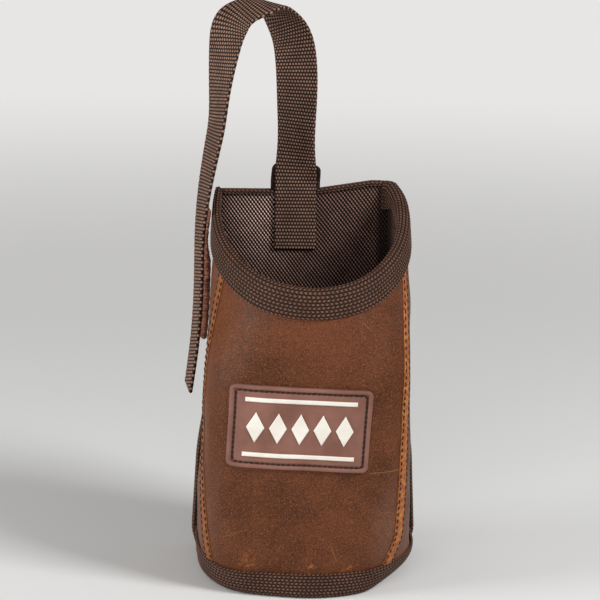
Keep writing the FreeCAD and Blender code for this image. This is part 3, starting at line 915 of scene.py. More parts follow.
def tan_material():
    """Raw tan leather with dark flecks, with painted shade that darkens it at the left."""
    shader = Shader("tan_strip")
    mottle = shader.noise(2.2, 4.0, 0.65)
    fine = shader.noise(0.5, 3.0)
    flecks = shader.noise(1.1, 4.0, 0.75)
    across = shader.parts(shader.place())[0]
    colour = shader.tint(mottle, 0.36, 0.66, (0.23, 0.068, 0.018), (0.45, 0.160, 0.046))
    colour = shader.tint(fine, 0.52, 0.75, colour, (0.58, 0.26, 0.10), 0.45)
    colour = shader.tint(flecks, 0.47, 0.33, colour, (0.11, 0.033, 0.011), 0.7)
    # Painted shade: darker towards the left
    colour = shader.tint(across, STRIP_SHADE_X[0] * MM, STRIP_SHADE_X[1] * MM, colour, (0.125, 0.040, 0.0125), 0.55)
    return shader.finish(colour, 0.6, 0.2, (mottle, 0.12), (fine, 0.08))


def fold_shade(shader):
    """1 on the open lining, and less in the fold, as painted shade."""
    x, y, _ = shader.parts(shader.place())
    side = shader.spread(x, FOLD_X[0] * MM, FOLD_X[1] * MM)
    back = shader.spread(y, FOLD_Y[0] * MM, FOLD_Y[1] * MM)
    return shader.spread(shader.times(side, back), 0.0, 1.0, 1.0, 1 - FOLD_SHADE)


def woven(shader, height, lit, dark, light, relief):
    """Woven cloth whose floats catch the light over dark gaps, a little worn."""
    worn = shader.spread(shader.noise(6.0, 3.0), 0.3, 0.7, 0.0, 0.25)
    strand = shader.spread(shader.noise(0.5), 0.35, 0.7, 0.0, 0.22)
    top = shader.mix(shader.math("ADD", worn, strand), light, dark)
    return shader.finish(shader.mix(lit, dark, top), 0.7, 0.15, (height, relief))


def lining_material():
    """Plain nylon: slanting floats, staggered from row to row, with painted light at the upper left and
    painted shade in the right corner's fold.
    """
    shader = Shader("lining")
    u, v, _ = shader.parts(shader.cloth())
    quarter = -math.pi / 2
    level = shader.times(shader.wave(u, LINING_ACROSS), shader.wave(v, 2 * LINING_ALONG))
    slant = shader.times(shader.wave(u, LINING_ACROSS, quarter), shader.wave(v, 2 * LINING_ALONG, quarter))
    height = shader.math("SUBTRACT", level, shader.times(slant, 0.3))
    lit = shader.times(shader.spread(height, -0.05, 0.70), fold_shade(shader))
    # Painted light: the floats are paler at the upper left
    light = shader.mix(shader.soft_spot(*LINING_LIT_SPOT), (0.34, 0.188, 0.147), LINING_LIT_COLOUR)
    return woven(shader, height, lit, (0.007, 0.0034, 0.0025), light, 0.22)


def webbing_material():
    """Webbing: rows of short dashes, staggered from row to row, with dark gaps between the rows."""
    shader = Shader("webbing")
    u, v, _ = shader.parts(shader.cloth())
    row = shader.wave(v, 2 * WEB_ALONG)
    dash = shader.times(shader.wave(u, WEB_ACROSS), shader.math("SIGN", row))
    height = shader.times(shader.math("MULTIPLY_ADD", dash, 0.35, 0.65), shader.math("ABSOLUTE", row))
    lit = shader.spread(height, 0.22, 0.85)
    return woven(shader, height, lit, (0.013, 0.0060, 0.0042), (0.360, 0.207, 0.147), 0.12)


def tape_material():
    """Herringbone tape: long ribs of slanting yarn that change direction from rib to rib."""
    shader = Shader("binding_tape")
    across, along, _ = shader.parts(shader.cloth())
    rib = shader.wave(across, TAPE_RIB)
    zigzag = shader.math("PINGPONG", shader.times(across, 1 / (2 * TAPE_RIB * MM)), 0.5)
    turns = shader.times(along, 2 * math.pi / (TAPE_YARN * MM))
    yarn = shader.math("COSINE", shader.math("ADD", turns, shader.times(zigzag, 4 * math.pi)))
    strand = shader.noise(0.45)
    lit = shader.times(shader.spread(rib, -0.95, 0.2), shader.spread(yarn, -0.5, 0.6, 0.12, 1.0))
    top = shader.tint(shader.noise(11.0), 0.3, 0.7, (0.163, 0.081, 0.052), (0.114, 0.053, 0.034))
    top = shader.tint(strand, 0.4, 0.75, top, (0.258, 0.145, 0.100), 0.6)
    colour = shader.mix(lit, (0.014, 0.0062, 0.0040), top)
    return shader.finish(colour, 0.75, 0.15, (lit, 0.12), (strand, 0.06))


def thread_material():
    """Dark twisted thread."""
    shader = Shader("thread")
    u, v, _ = shader.parts(shader.cloth())
    twist = shader.wave(shader.math("ADD", v, shader.times(u, 0.8)), 0.5)
    colour = shader.tint(twist, -0.8, 0.8, (0.014, 0.007, 0.005), (0.052, 0.026, 0.017))
    return shader.finish(colour, 0.5, 0.2, (twist, 0.06))


def rubber_material(name, dark, light):
    """Moulded soft rubber with a satin skin and faint smudges."""
    shader = Shader(name)
    smudge = shader.noise(12.0, 3.0)
    colour = shader.tint(smudge, 0.3, 0.7, dark, light)
    roughness = shader.spread(smudge, 0.35, 0.7, 0.48, 0.60)
    return shader.finish(colour, roughness, 0.25, (shader.noise(0.35), 0.02))


def foam_material():
    """Dark foam with open pores."""
    shader = Shader("foam")
    pores = shader.cells(0.8, feature="F1")
    colour = shader.tint(pores, 0.1, 0.6, (0.020, 0.019, 0.018), (0.060, 0.058, 0.055))
    return shader.finish(colour, 0.9, 0.2, (pores, 0.2))


def board_material():
    """Brown fibre board."""
    shader = Shader("board")
    fibre = shader.noise(1.5, 5.0, 0.7)
    colour = shader.tint(fibre, 0.3, 0.7, (0.16, 0.12, 0.08), (0.28, 0.22, 0.15))
    return shader.finish(colour, 0.85, 0.2, (fibre, 0.05))


def fuzz_material(name, dark, light):
    """Hook or loop tape: a dense nap of short fibres."""
    shader = Shader(name)
    nap = shader.noise(0.9, 4.0, 0.75, shader.cloth())
    colour = shader.tint(nap, 0.36, 0.66, dark, light)
    colour = shader.tint(shader.noise(5.0), 0.35, 0.75, colour, dark, 0.5)
    return shader.finish(colour, 0.9, 0.1, (nap, 0.35))


MATERIALS = {
    "brown_leather": leather_material(),
    "tan_strip": tan_material(),
    "binding_tape": tape_material(),
    "thread": thread_material(),
    "foam": foam_material(),
    "board": board_material(),
    "lining": lining_material(),
    "webbing": webbing_material(),
    "hook_tape": fuzz_material("hook_tape", (0.045, 0.016, 0.011), (0.40, 0.165, 0.110)),
    "loop_tape": fuzz_material("loop_tape", (0.014, 0.008, 0.0065), (0.062, 0.038, 0.030)),
    "patch_rubber": rubber_material("patch_rubber", (0.180, 0.078, 0.056), (0.245, 0.112, 0.084)),
    "patch_ivory": rubber_material("patch_ivory", (0.73, 0.68, 0.60), (0.83, 0.79, 0.71)),
}


# Padded wall

def panel_grid(left, right, columns, rows):
    """Shares round the wall and heights of a panel between two edges, from its low edge to the mouth."""
    across, up = np.meshgrid(np.linspace(0, 1, columns), np.linspace(0, 1, rows))
    z = WALL_LOW + up * (FRONT_HEIGHT - WALL_LOW)
    for _ in range(6):
        u = left(z) + across * (right(z) - left(z))
        z = WALL_LOW + up * (below_mouth(u, 0.0, PANEL_DROP) - WALL_LOW)
    return u, z


def wall_piece(name, slot, grid, outer, inner, swollen):
    u, z = grid
    uv = points_of((u - 0.5) * wall_length(z), z)
    return make_shell(name, slot, wall_at(u, z, outer, swollen), wall_at(u, z, inner, swollen), uv)


def wall_edge(share):
    """The wall's own edge: its start at a share of 0, its end at 1."""
    def place(z):
        return np.full(z.shape, share)
    return place


def seam_edge(side, shift):
    """The line of a seam, moved along the wall by shift."""
    def place(z):
        return seam_u(side, z) + shift / wall_length(z)
    return place


def build_wall():
    start, end = wall_edge(0.0), wall_edge(1.0)
    half_gap = GAP / 2
    panels = [
        ("side_panel_left", start, seam_edge("left", -half_gap)),
        ("front_panel", seam_edge("left", half_gap), seam_edge("right", -half_gap)),
        ("side_panel_right", seam_edge("right", half_gap), end),
    ]
    for name, left, right in panels:
        grid = panel_grid(left, right, PANEL_COLUMNS[name], PANEL_ROWS)
        wall_piece(name, "brown_leather", grid, 0.0, LEATHER, True)
    foam_grid = panel_grid(start, end, *FOAM_GRID)
    foam = wall_piece("wall_foam", "foam", foam_grid, FOAM_INSET, FOAM_INSET + FOAM, False)
    lining_grid = panel_grid(start, end, *LINING_GRID)
    lining = wall_piece("wall_lining", "lining", lining_grid, LINING_INSET, WALL, False)


# Seam strips and their stitches

def seam_rows(side, spacing):
    """Heights along a seam, from just under the base's tape to just under the mouth's."""
    high = FRONT_HEIGHT
    for _ in range(5):
        high = float(below_mouth(seam_u(side, high), 0.0, MOUTH_LEG - SEAM_LAP))
    foot = plain_wall(seam_u(side, BASE_LEG), BASE_LEG, -TAPE_REACH)[:2]
    return steps(BASE_LEG + base_leg_rise(foot) - SEAM_LAP, high, spacing)


def build_seam(side):
    rows = seam_rows(side, SEAM_SPACING)
    z, across = grid_of(rows, np.linspace(-SEAM_STRIP / 2, SEAM_STRIP / 2, SEAM_COLUMNS))
    u = seam_u(side, z) + across / wall_length(z)
    crown = np.sqrt(np.maximum(1 - (2 * across / SEAM_STRIP) ** 4, 0))
    fray = SEAM_FRAY * np.sin(z * 2.9 + 3 * np.sin(z * 0.7)) * crown
    raised = SEAM_STRIP_THICKNESS * (SEAM_STRIP_EDGE + (1 - SEAM_STRIP_EDGE) * crown)
    outer = wall_at(u, z, -GAP - raised - fray)
    make_shell("seam_strip_" + side, "tan_strip", outer, wall_at(u, z, 0.0), points_of(across, z))
    build_seam_stitches(side, rows[0], rows[-1])


def build_seam_stitches(side, low, high):
    builder = Builder()
    row = SEAM_STRIP / 2 - STITCH_MARGIN
    wobble = random.Random(side)
    for offset in (-row, row):
        for middle in np.arange(low + STITCH_PITCH / 2, high - STITCH_PITCH / 3, STITCH_PITCH):
            z = middle + wobble.uniform(-STITCH_SHIFT, STITCH_SHIFT) + STITCH_ENDS
            u = seam_u(side, z) + offset / wall_length(z)
            start, end = wall_at(u, z, -SEAM_STRIP_THICKNESS - GAP)
            up = wall_at(u, z, -1.0)[0] - wall_at(u, z, 0.0)[0]
            lean = wobble.uniform(-STITCH_LEAN, STITCH_LEAN)
            builder.add_stitch(start, end, up, (STITCH_LENGTH, THREAD, THREAD), STITCH_SUNK, lean)
    builder.make("seam_stitches_" + side, "thread")


# Edge tape

def tape_relief(across, along):
    """Height of the tape's ribs and slanting yarns over its plain face."""
    rib = 0.5 + 0.5 * np.cos(2 * np.pi * across / TAPE_RIB)
    turns = across / (2 * TAPE_RIB)
    zigzag = np.abs(turns - np.round(turns))
    yarn = 0.5 + 0.5 * np.cos(2 * np.pi * (along / TAPE_YARN + 2 * zigzag))
    return TAPE_RELIEF * rib * (1 - TAPE_YARN_SHARE + TAPE_YARN_SHARE * yarn)


def turned_corner(points, angle, middle):
    """Points carried on round the back's right corner by an angle, about an upright axis."""
    pivot = plain_wall(1.0, BACK_HEIGHT, middle + MOUTH_TURN)
    x = points[..., 0] - pivot[0]
    y = points[..., 1] - pivot[1]
    turned_x = pivot[0] + x * np.cos(angle) - y * np.sin(angle)
    turned_y = pivot[1] + x * np.sin(angle) + y * np.cos(angle)
    return points_of(turned_x, turned_y, points[..., 2])


def build_mouth_binding():
    """Tape folded over the mouth's edge. Its left end runs on over the back's edge and closes there;
    its right end turns round the back's corner."""
    turn_length = MOUTH_TURN * math.pi / 2
    round_wall = wall_length(BACK_HEIGHT - MOUTH_LEG)
    along = steps(-MOUTH_OVER, round_wall + turn_length, TAPE_ALONG_SPACING)[:, None]
    u = np.clip(along / round_wall, 0, 1)
    middle = WALL * (1 - pinch(u)) / 2
    radius = middle + TAPE_REACH
    outside = MOUTH_LEG + TAPE_REACH - radius
    inside = np.interp(u, MOUTH_INNER_PLACES, MOUTH_INNER_LEG) + TAPE_REACH - radius
    travel = np.linspace(0, 1, MOUTH_COLUMNS) * (outside + math.pi * radius + inside)
    turn = np.clip((travel - outside) / radius, 0, math.pi)
    down = np.maximum(np.maximum(outside - travel, travel - outside - math.pi * radius), 0)
    over_left = np.maximum(-along, 0)
    over_right = np.maximum(along - round_wall, 0)
    closing = np.maximum(over_left / MOUTH_OVER, (over_right - turn_length) / MOUTH_TURN_CLOSE + 1)
    close = np.sqrt(np.maximum(1 - np.maximum(closing, 0) ** 3, MOUTH_CLOSED))
    faces = []
    for face in (radius + tape_relief(travel, along), radius - TAPE):
        reach = face * close
        inset = middle - reach * np.cos(turn)
        drop = radius - TAPE_REACH - reach * np.sin(turn) + down
        points = plain_wall(u, below_mouth(u, inset, drop), inset)
        points[..., 1] += over_left
        faces.append(turned_corner(points, over_right / MOUTH_TURN, middle[-1, 0]))
    make_shell("mouth_binding", "binding_tape", *faces, points_of(travel, along))


def flange(z):
    """How far the back reaches past the wall: widest just above the base's tape."""
    low = FLANGE_LOW_TUCK * (1 - ease(z, 0.0, BASE_LEG))
    return FLANGE - low - FLANGE_TUCK * ease(z, *FLANGE_TUCK_HEIGHTS)


def corner_points(x, y, start):
    """Points round one corner of the base, a quarter of a circle about a centre."""
    angle = np.linspace(start, start + math.pi / 2, CORNER_POINTS)
    return points_of(x + BASE_CORNER * np.cos(angle), y + BASE_CORNER * np.sin(angle))


def base_ring(z, out):
    """The outline of the base edge at one height, out from the wall and the back's flange."""
    wall = plain_wall(steps(BASE_RING_START, 1 - BASE_RING_START, BASE_RING_STEP), z, -out)[:, :2]
    held = max(out, BASE_INSIDE)
    side = back_half_width(z) + flange(z) + held - BASE_CORNER
    rear_y = BACK_REAR_Y + out * (1.0 if out > 0 else BASE_REAR_SHARE)
    front = corner_points(side, WALL_END_Y - held + BASE_CORNER, -math.pi / 2)
    rear = corner_points(side, rear_y - BASE_CORNER, 0.0)
    flank = front[-1] + np.linspace(0, 1, BASE_FLANK_POINTS)[1:-1, None] * (rear[0] - front[-1])
    back = points_of(np.linspace(rear[-1, 0], 0, BASE_BACK_POINTS)[1:], rear_y)
    right = np.concatenate([front, flank, rear, back])
    left = right[::-1][1:] * MIRROR
    return np.concatenate([wall, right, left])


def base_leg_rise(ring):
    """How much higher the tape's upper edge lies at the sides than at the front and the back."""
    x, y = ring.T
    rise = BASE_RISE_LEFT * ease(-x, *BASE_RISE_LEFT_X) + BASE_RISE_RIGHT * ease(x, *BASE_RISE_RIGHT_X)
    return rise * (1 - ease(y, *BASE_RISE_Y))


def build_base_binding():
    """Tape folded under the base's edge, all the way round."""
    leg = BASE_LEG - BASE_TURN
    quarter = BASE_TURN * math.pi / 2
    travel = steps(0, leg + quarter + WALL + 2 * TAPE_REACH - BASE_TURN, TAPE_ACROSS_SPACING)
    middle = base_ring(BASE_LEG / 2, TAPE_REACH)
    along = lengths(np.concatenate([middle, middle[:1]]))
    rise = base_leg_rise(middle)
    faces = []
    for reach, ribs in ((BASE_TURN, 1.0), (BASE_TURN - TAPE, 0.0)):
        columns = []
        for distance in travel:
            turn = np.clip((distance - leg) / BASE_TURN, 0, math.pi / 2)
            out = TAPE_REACH - BASE_TURN + reach * math.cos(turn) - max(distance - leg - quarter, 0)
            height = BASE_TURN - reach * math.sin(turn) + max(leg - distance, 0)
            ring = base_ring(height, out)
            outward = base_ring(height, out + BASE_OUTWARD) - ring
            outward = outward / np.maximum(np.linalg.norm(outward, axis=1), TINY)[:, None]
            relief = ribs * math.cos(turn) * tape_relief(distance, along[:-1])
            lifted = height + rise * np.clip((height - BASE_TURN) / leg, 0, 1)
            columns.append(np.column_stack([ring + outward * relief[:, None], lifted]))
        faces.append(np.stack(columns, axis=1))
    make_shell("base_binding", "binding_tape", *faces, points_of(travel, along[:, None]), closed=True)


def rounded_profile(corners, radius):
    """A path through straight runs with rounded corners, as points, outward directions and distances."""
    corners = [Vector(corner) for corner in corners]
    path = [corners[0]]
    for before, corner, after in zip(corners, corners[1:], corners[2:]):
        start = corner + (before - corner).normalized() * radius
        end = corner + (after - corner).normalized() * radius
        for share in np.linspace(0, 1, CORNER_POINTS):
            path.append(start * (1 - share) ** 2 + corner * (2 * share * (1 - share)) + end * share ** 2)
    path = np.array([tuple(point) for point in path + corners[-1:]])
    travel = steps(0, lengths(path)[-1], TAPE_ACROSS_SPACING)
    path = evened(path, travel)
    run = unit(np.gradient(path, axis=0))
    return path, points_of(-run[:, 1], run[:, 0]), travel


def folded_tape(corners, radius, rows, relief_share=1.0, fade=None):
    """A tape folded round a profile: distances along and across it, and its faces in the profile's plane.
    Its relief is lowered to a share, or fades out towards its first edge."""
    path, outward, travel = rounded_profile(corners, radius)
    along, across = grid_of(rows, travel)
    relief = relief_share * tape_relief(across, along)
    if fade:
        relief = relief * edge_fade(across, fade)
    faces = [path + outward * offset[..., None] for offset in (relief, np.full(relief.shape, -TAPE))]
    return along, across, faces


def on_back(x, y, z, dip=0.0):
    """Points of the back, pressed thin towards its top edge, and let down by dip."""
    depth = np.maximum(y - BACK_FACE_Y, 0)
    below = np.maximum(BACK_HEIGHT - z, 0)
    return points_of(x, y - depth * BACK_PINCH * np.exp(-(below / BACK_PINCH_REACH) ** 2), z + dip)


def build_back_binding(sign, name):
    """Tape folded round one side edge of the back."""
    rear_y = BACK_REAR_Y + TAPE_REACH
    front_y = WALL_END_Y - TAPE
    corners = [(TAPE_REACH - BACK_LEG, rear_y), (TAPE_REACH, rear_y),
               (TAPE_REACH, front_y), (-BACK_LAP, front_y)]
    rows = steps(BASE_LEG + BACK_TAPE_GAP, BACK_HEIGHT - HEM_LEG - BACK_TAPE_GAP, BACK_TAPE_SPACING)
    z, across, faces = folded_tape(corners, BACK_TAPE_CORNER, rows, fade=BACK_TAPE_FADE)
    side = back_half_width(z) + flange(z)
    faces = [on_back(sign * (side + face[..., 0]), face[..., 1], z) for face in faces]
    make_shell(name, "binding_tape", *faces, points_of(across, z))


def hem_dip(x):
    """The soft back's top edge hangs lower at the strap and left of it."""
    return HEM_DIP * (np.clip((x - HEM_DIP_X[0]) / (HEM_DIP_X[1] - HEM_DIP_X[0]), 0, 1) - 1)


def add_hem(builder, x_low, x_high, corners):
    rows = steps(x_low, x_high, TAPE_ALONG_SPACING)
    x, across, faces = folded_tape(corners, HEM_CORNER, rows, relief_share=HEM_RELIEF)
    faces = [on_back(x, face[..., 0], face[..., 1], hem_dip(x)) for face in faces]
    builder.add_shell(*faces, points_of(across, x))


def build_hem():
    """A narrow hem over the back's top edge, open at the front where the strap is sewn on."""
    top = BACK_HEIGHT + TAPE_REACH
    rear_y = BACK_REAR_Y + TAPE_REACH
    front_y = WALL_END_Y - TAPE
    half = back_half_width(BACK_HEIGHT)
    left = -half - LEFT_SPREAD + WALL * (1 - PINCH[0]) + TAPE_REACH
    right = half - WALL * (1 - PINCH[-1]) / 2 - MOUTH_TURN
    room = STRAP_WIDTH / 2 + HEM_STRAP_GAP
    builder = Builder()
    add_hem(builder, left, right, [(HEM_JOIN_Y, top), (rear_y, top), (rear_y, BACK_HEIGHT - HEM_LEG)])
    front = [(front_y, BACK_HEIGHT - HEM_FRONT_LEG), (front_y, top), (HEM_JOIN_Y, top)]
    add_hem(builder, left, STRAP_X - room, front)
    add_hem(builder, STRAP_X + room, right, front)
    builder.make("back_top_hem", "binding_tape")


# Back and base

def back_sheet(name, slot, y_low, y_high, spacing, bulge):
    """One layer of the back: a tapered sheet with a slight swell, forwards or to the rear."""
    columns = np.linspace(-1, 1, round(BACK_WIDTH / spacing))
    z, share = grid_of(steps(WALL_LOW, BACK_HEIGHT, spacing), columns)
    x = share * (back_half_width(z) + flange(z))
    dip = hem_dip(x) * ((z - WALL_LOW) / (BACK_HEIGHT - WALL_LOW)) ** 2
    ends = np.minimum(z - BASE_LEG, BACK_HEIGHT - z - BACK_SWELL_TOP)
    edges = np.minimum((1 - np.abs(share)) * BACK_SWELL_HALF, ends)
    slanting, up, level = BACK_WAVES
    waves = 1 + 0.5 * np.sin(x / slanting + z / up) * np.sin(z / level)
    out = bulge * edge_fade(edges, BACK_SWELL_EDGE) * waves
    faces = [on_back(x, y, z, dip) for y in (y_high + np.maximum(out, 0), y_low + np.minimum(out, 0))]
    return make_shell(name, slot, *faces, points_of(x, z))


def build_back():
    lining = back_sheet("back_lining", "lining", BACK_FACE_Y, BACK_FACE_Y + LINING, BACK_SPACING,
                        BACK_LINING_SWELL)
    foam = back_sheet("back_foam", "foam", BACK_FOAM_Y, BACK_FOAM_Y + FOAM, BACK_FOAM_SPACING, 0.0)
    back_sheet("back_panel", "brown_leather", BACK_LEATHER_Y, BACK_REAR_Y, BACK_SPACING, BACK_SWELL)


def base_disc(inset, low, high, crown):
    """A D-shaped layer of the base, with a slight crown on its upper face."""
    edge = plain_wall(np.linspace(0, 1, BASE_COLUMNS), low, inset)
    share = np.linspace(0, 1, BASE_ROWS)[:, None]
    chord_x = np.clip(edge[:, 0], edge[0, 0], edge[-1, 0])
    x = chord_x + share * (edge[:, 0] - chord_x)
    y = edge[0, 1] + share * (edge[:, 1] - edge[0, 1])
    rim = np.minimum((1 - share) * BASE_CROWN_REACH, share * (edge[0, 1] - edge[:, 1]))
    top = high + crown * edge_fade(rim, BASE_CROWN_EDGE)
    return points_of(x, y, top), points_of(x, y, low), points_of(x, y)


def build_base():
    wide = WALL + 2 * GAP
    narrow = WALL + TAPE_REACH + GAP
    layers = [
        ("base_panel", "brown_leather", LEATHER, narrow, 0.0),
        ("base_board", "board", BOARD, wide, 0.0),
        ("base_foam", "foam", FOAM, wide, 0.0),
        ("base_lining", "lining", LINING, wide, BASE_CROWN),
    ]
    low = 0.0
    for name, slot, thickness, inset, crown in layers:
        piece = make_shell(name, slot, *base_disc(inset, low, low + thickness, crown))
        low += thickness + GAP


# Label patch

def patch_points(a, b, height):
    """Points over the wall at places in the patch's own plane, raised by height."""
    x = PATCH_MIDDLE[0] + a * math.cos(PATCH_TILT) + b * math.sin(PATCH_TILT)
    z = PATCH_MIDDLE[1] - a * math.sin(PATCH_TILT) + b * math.cos(PATCH_TILT)
    u = np.full(x.shape, 0.5)
    nudge = 1e-3
    for _ in range(12):
        here = look_up(u, z)[..., 0]
        there = look_up(u + nudge, z)[..., 0]
        u = u + (x - here) / (there - here) * nudge
    return wall_at(u, z, -GAP - height)


def patch_height(inside):
    """Height of the patch's face by distance in from its edge: round edge, frame, groove and field."""
    into_groove = ease(inside, GROOVE_IN, GROOVE_IN + GROOVE_SLOPE)
    out_of_groove = ease(inside, GROOVE_OUT, GROOVE_OUT + GROOVE_SLOPE)
    height = PATCH_THICKNESS * round_over(inside / PATCH_EDGE)
    return height - (PATCH_POCKET + GROOVE_DEPTH) * into_groove + GROOVE_DEPTH * out_of_groove


def build_patch():
    """The patch, as a grid that fills a rectangle with round corners."""
    half = np.array([PATCH_SPAN, PATCH_HEIGHT]) / 2
    t, s = square_grid(*PATCH_GRID)
    square = points_of(s, t) * half
    overlap = np.maximum(np.abs(square) - (half - PATCH_CORNER), 0)
    length = np.linalg.norm(overlap, axis=-1)
    scale = np.where(length > TINY, overlap.max(axis=-1) / np.maximum(length, TINY), 1.0)
    place = np.sign(square) * (np.abs(square) - overlap * (1 - scale)[..., None])
    past = np.abs(place) - (half - PATCH_CORNER)
    outside = np.linalg.norm(np.maximum(past, 0), axis=-1)
    inside = np.maximum(PATCH_CORNER - outside - np.minimum(past.max(axis=-1), 0), 0)
    a, b = np.moveaxis(place, -1, 0)
    outer = patch_points(a, b, patch_height(inside))
    make_shell("label_patch", "patch_rubber", outer, patch_points(a, b, 0.0), place)


def build_patch_stitches():
    half = np.array([PATCH_SPAN, PATCH_HEIGHT]) / 2
    corner = PATCH_CORNER - PATCH_STITCH_MARGIN / 2
    path = []
    for signs, start in (((1, 1), 0), ((-1, 1), 90), ((-1, -1), 180), ((1, -1), 270)):
        angle = np.radians(np.linspace(start, start + 90, PATCH_CORNER_POINTS))
        round_corner = corner * points_of(np.cos(angle), np.sin(angle))
        path.append(np.array(signs) * (half - PATCH_STITCH_MARGIN - corner) + round_corner)
    path = np.concatenate(path + [path[0][:1]])
    total = lengths(path)[-1]
    count = round(total / PATCH_STITCH_PITCH)
    builder = Builder()
    wobble = random.Random(PATCH_STITCH_SEED)
    for index in range(count):
        middle = (index + 0.5) * total / count
        a, b = evened(path, middle + PATCH_STITCH_ENDS).T
        start, end = patch_points(a, b, PATCH_STITCH_FLOOR)
        up = patch_points(a, b, PATCH_STITCH_FLOOR + 1.0)[0] - start
        lean = wobble.uniform(-PATCH_STITCH_LEAN, PATCH_STITCH_LEAN)
        builder.add_stitch(start, end, up, PATCH_STITCH, -STITCH_SUNK, lean)
    builder.make("patch_stitches", "thread")


def add_inlay(builder, a, b, inside, middle):
    """One raised shape with softened edges, moved to its middle."""
    floor = PATCH_THICKNESS - PATCH_POCKET
    height = floor + INLAY_LIFT + INLAY_THICKNESS * round_over(inside / INLAY_EDGE)
    place = a + middle[0], b + middle[1]
    builder.add_shell(patch_points(*place, height), patch_points(*place, floor), points_of(a, b))


def add_bar(builder, up, half_a, half_b):
    t, s = square_grid(*INLAY_BAR_GRID)
    inside = np.minimum((1 - np.abs(s)) * half_a, (1 - np.abs(t)) * half_b)
    add_inlay(builder, s * half_a, t * half_b, inside, (0.0, up))


def add_diamond(builder, across, half_a, half_b):
    t, s = square_grid(*INLAY_DIAMOND_GRID)
    width = 1 - np.abs(t)
    inside = (1 - np.abs(s)) * width * half_a * INLAY_SLANT
    add_inlay(builder, s * np.maximum(width, INLAY_TIP) * half_a, t * half_b, inside, (across, 0.0))


def build_inlay():
    """Plain ornament on the patch's field: a row of diamonds between two bars."""
    room_across = PATCH_SPAN - 2 * PATCH_FRAME - 4 * INLAY_BAR
    room_up = PATCH_HEIGHT - 2 * PATCH_FRAME - 4 * INLAY_BAR
    builder = Builder()
    for sign in (-1, 1):
        add_bar(builder, sign * room_up / 2, room_across / 2, INLAY_BAR / 2)
    pitch = room_across / INLAY_COUNT
    for index in range(INLAY_COUNT):
        add_diamond(builder, (index - (INLAY_COUNT - 1) / 2) * pitch, pitch / 2 * INLAY_FILL, INLAY_DIAMOND)
    builder.make("patch_inlay", "patch_ivory")


# Strap

def strap_lines():
    """The strap's middle line and one edge, as curves along the route, and the distances of its points."""
    middle = []
    edge = []
    for share, forward, up, width in STRAP_ROUTE:
        across = STRAP_X + share * (-STRAP_SIDE - STRAP_X)
        point = np.array([across, HINGE_Y - forward, HINGE_Z + up])
        middle.append(point)
        edge.append(point + np.array(width) * STRAP_WIDTH / 2)
    travel = lengths(np.array(middle))
    return smooth_curve(middle, travel), smooth_curve(edge, travel), travel


STRAP_MIDDLE, STRAP_EDGE, STRAP_TRAVEL = strap_lines()
STRAP_END = STRAP_TRAVEL[-1]
STRAP_FACE = STRAP_THICKNESS / 2
HINGE_TRAVEL = -STRAP_ROUTE[0][2]


def strap_frames(distance):
    """Points on the strap's middle line, its width direction and its outer face's direction.
    Distances below the route's start run straight down the sewn tab."""
    held = np.clip(distance, 0, STRAP_END)
    point = STRAP_MIDDLE(held)
    after = STRAP_MIDDLE(np.clip(held + STRAP_STEP, 0, STRAP_END))
    before = STRAP_MIDDLE(np.clip(held - STRAP_STEP, 0, STRAP_END))
    run = unit(after - before)
    outward = unit(np.cross(STRAP_EDGE(held) - point, run))
    point = point + run * (distance - held)[:, None]
    return point, np.cross(run, outward), outward


def web_relief(across, along):
    """Height of the webbing's floats: rows of short dashes, staggered from row to row."""
    row = np.cos(np.pi * along / WEB_ALONG)
    dash = 0.5 + 0.5 * np.cos(2 * np.pi * across / WEB_ACROSS) * np.sign(row)
    return WEB_RELIEF * (np.abs(row) * (1 - WEB_DASH + WEB_DASH * dash) - WEB_SUNK)


def fuzz_relief(across, along):
    """Uneven nap of a hook or loop tape."""
    crossways = np.sin(across * 5.1 + 1.7 * np.sin(along * 3.3))
    lengthways = np.sin(along * 4.7 + 2.1 * np.sin(across * 2.9))
    return FUZZ * (crossways * lengthways)


def strap_band(start, end, width, inner, outer, relief, spacing=WEB_SPACING,
               corner=0.0, lean=0.0, cut=None):
    """Both faces of a band along the strap's route with rounded edges, and its texture coordinates.
    With a corner, its far end is rounded by that radius. With a lean, its rows come to slant along it.
    At the distance cut it runs on into another piece, and its end stays square."""
    distance = steps(start, end, spacing)
    along, across = grid_of(distance, steps(-width / 2, width / 2, spacing))
    past = np.maximum(along - end + corner, 0)
    across = across * (1 - (corner - np.sqrt(np.maximum(corner ** 2 - past ** 2, 0))) * 2 / width)
    row = along - lean * ease(along, start, start + WEB_LEAN_START) * across
    half = (outer - inner) / 2
    inside = np.abs(across[:, :1]) - np.abs(across)
    rounded = [np.abs(along - place) for place in (start, end) if place != cut]
    ends = np.minimum.reduce(rounded) / (half * STRAP_END_ROUND)
    belly = round_over(np.minimum(inside / half, ends))
    roll = STRAP_EDGE_ROLL * np.exp(-((inside - STRAP_ROLL_PLACE) / STRAP_ROLL_REACH) ** 2)
    point, side, outward = [value[:, None] for value in strap_frames(distance)]
    faces = []
    for sign in (1, -1):
        plain = half * (STRAP_EDGE_SHARE + (1 - STRAP_EDGE_SHARE) * belly)
        height = plain + (relief(across, row * sign) + roll) * belly
        offset = (inner + outer) / 2 + sign * height
        faces.append(point + side * across[..., None] + outward * offset[..., None])
    return *faces, points_of(across, row)


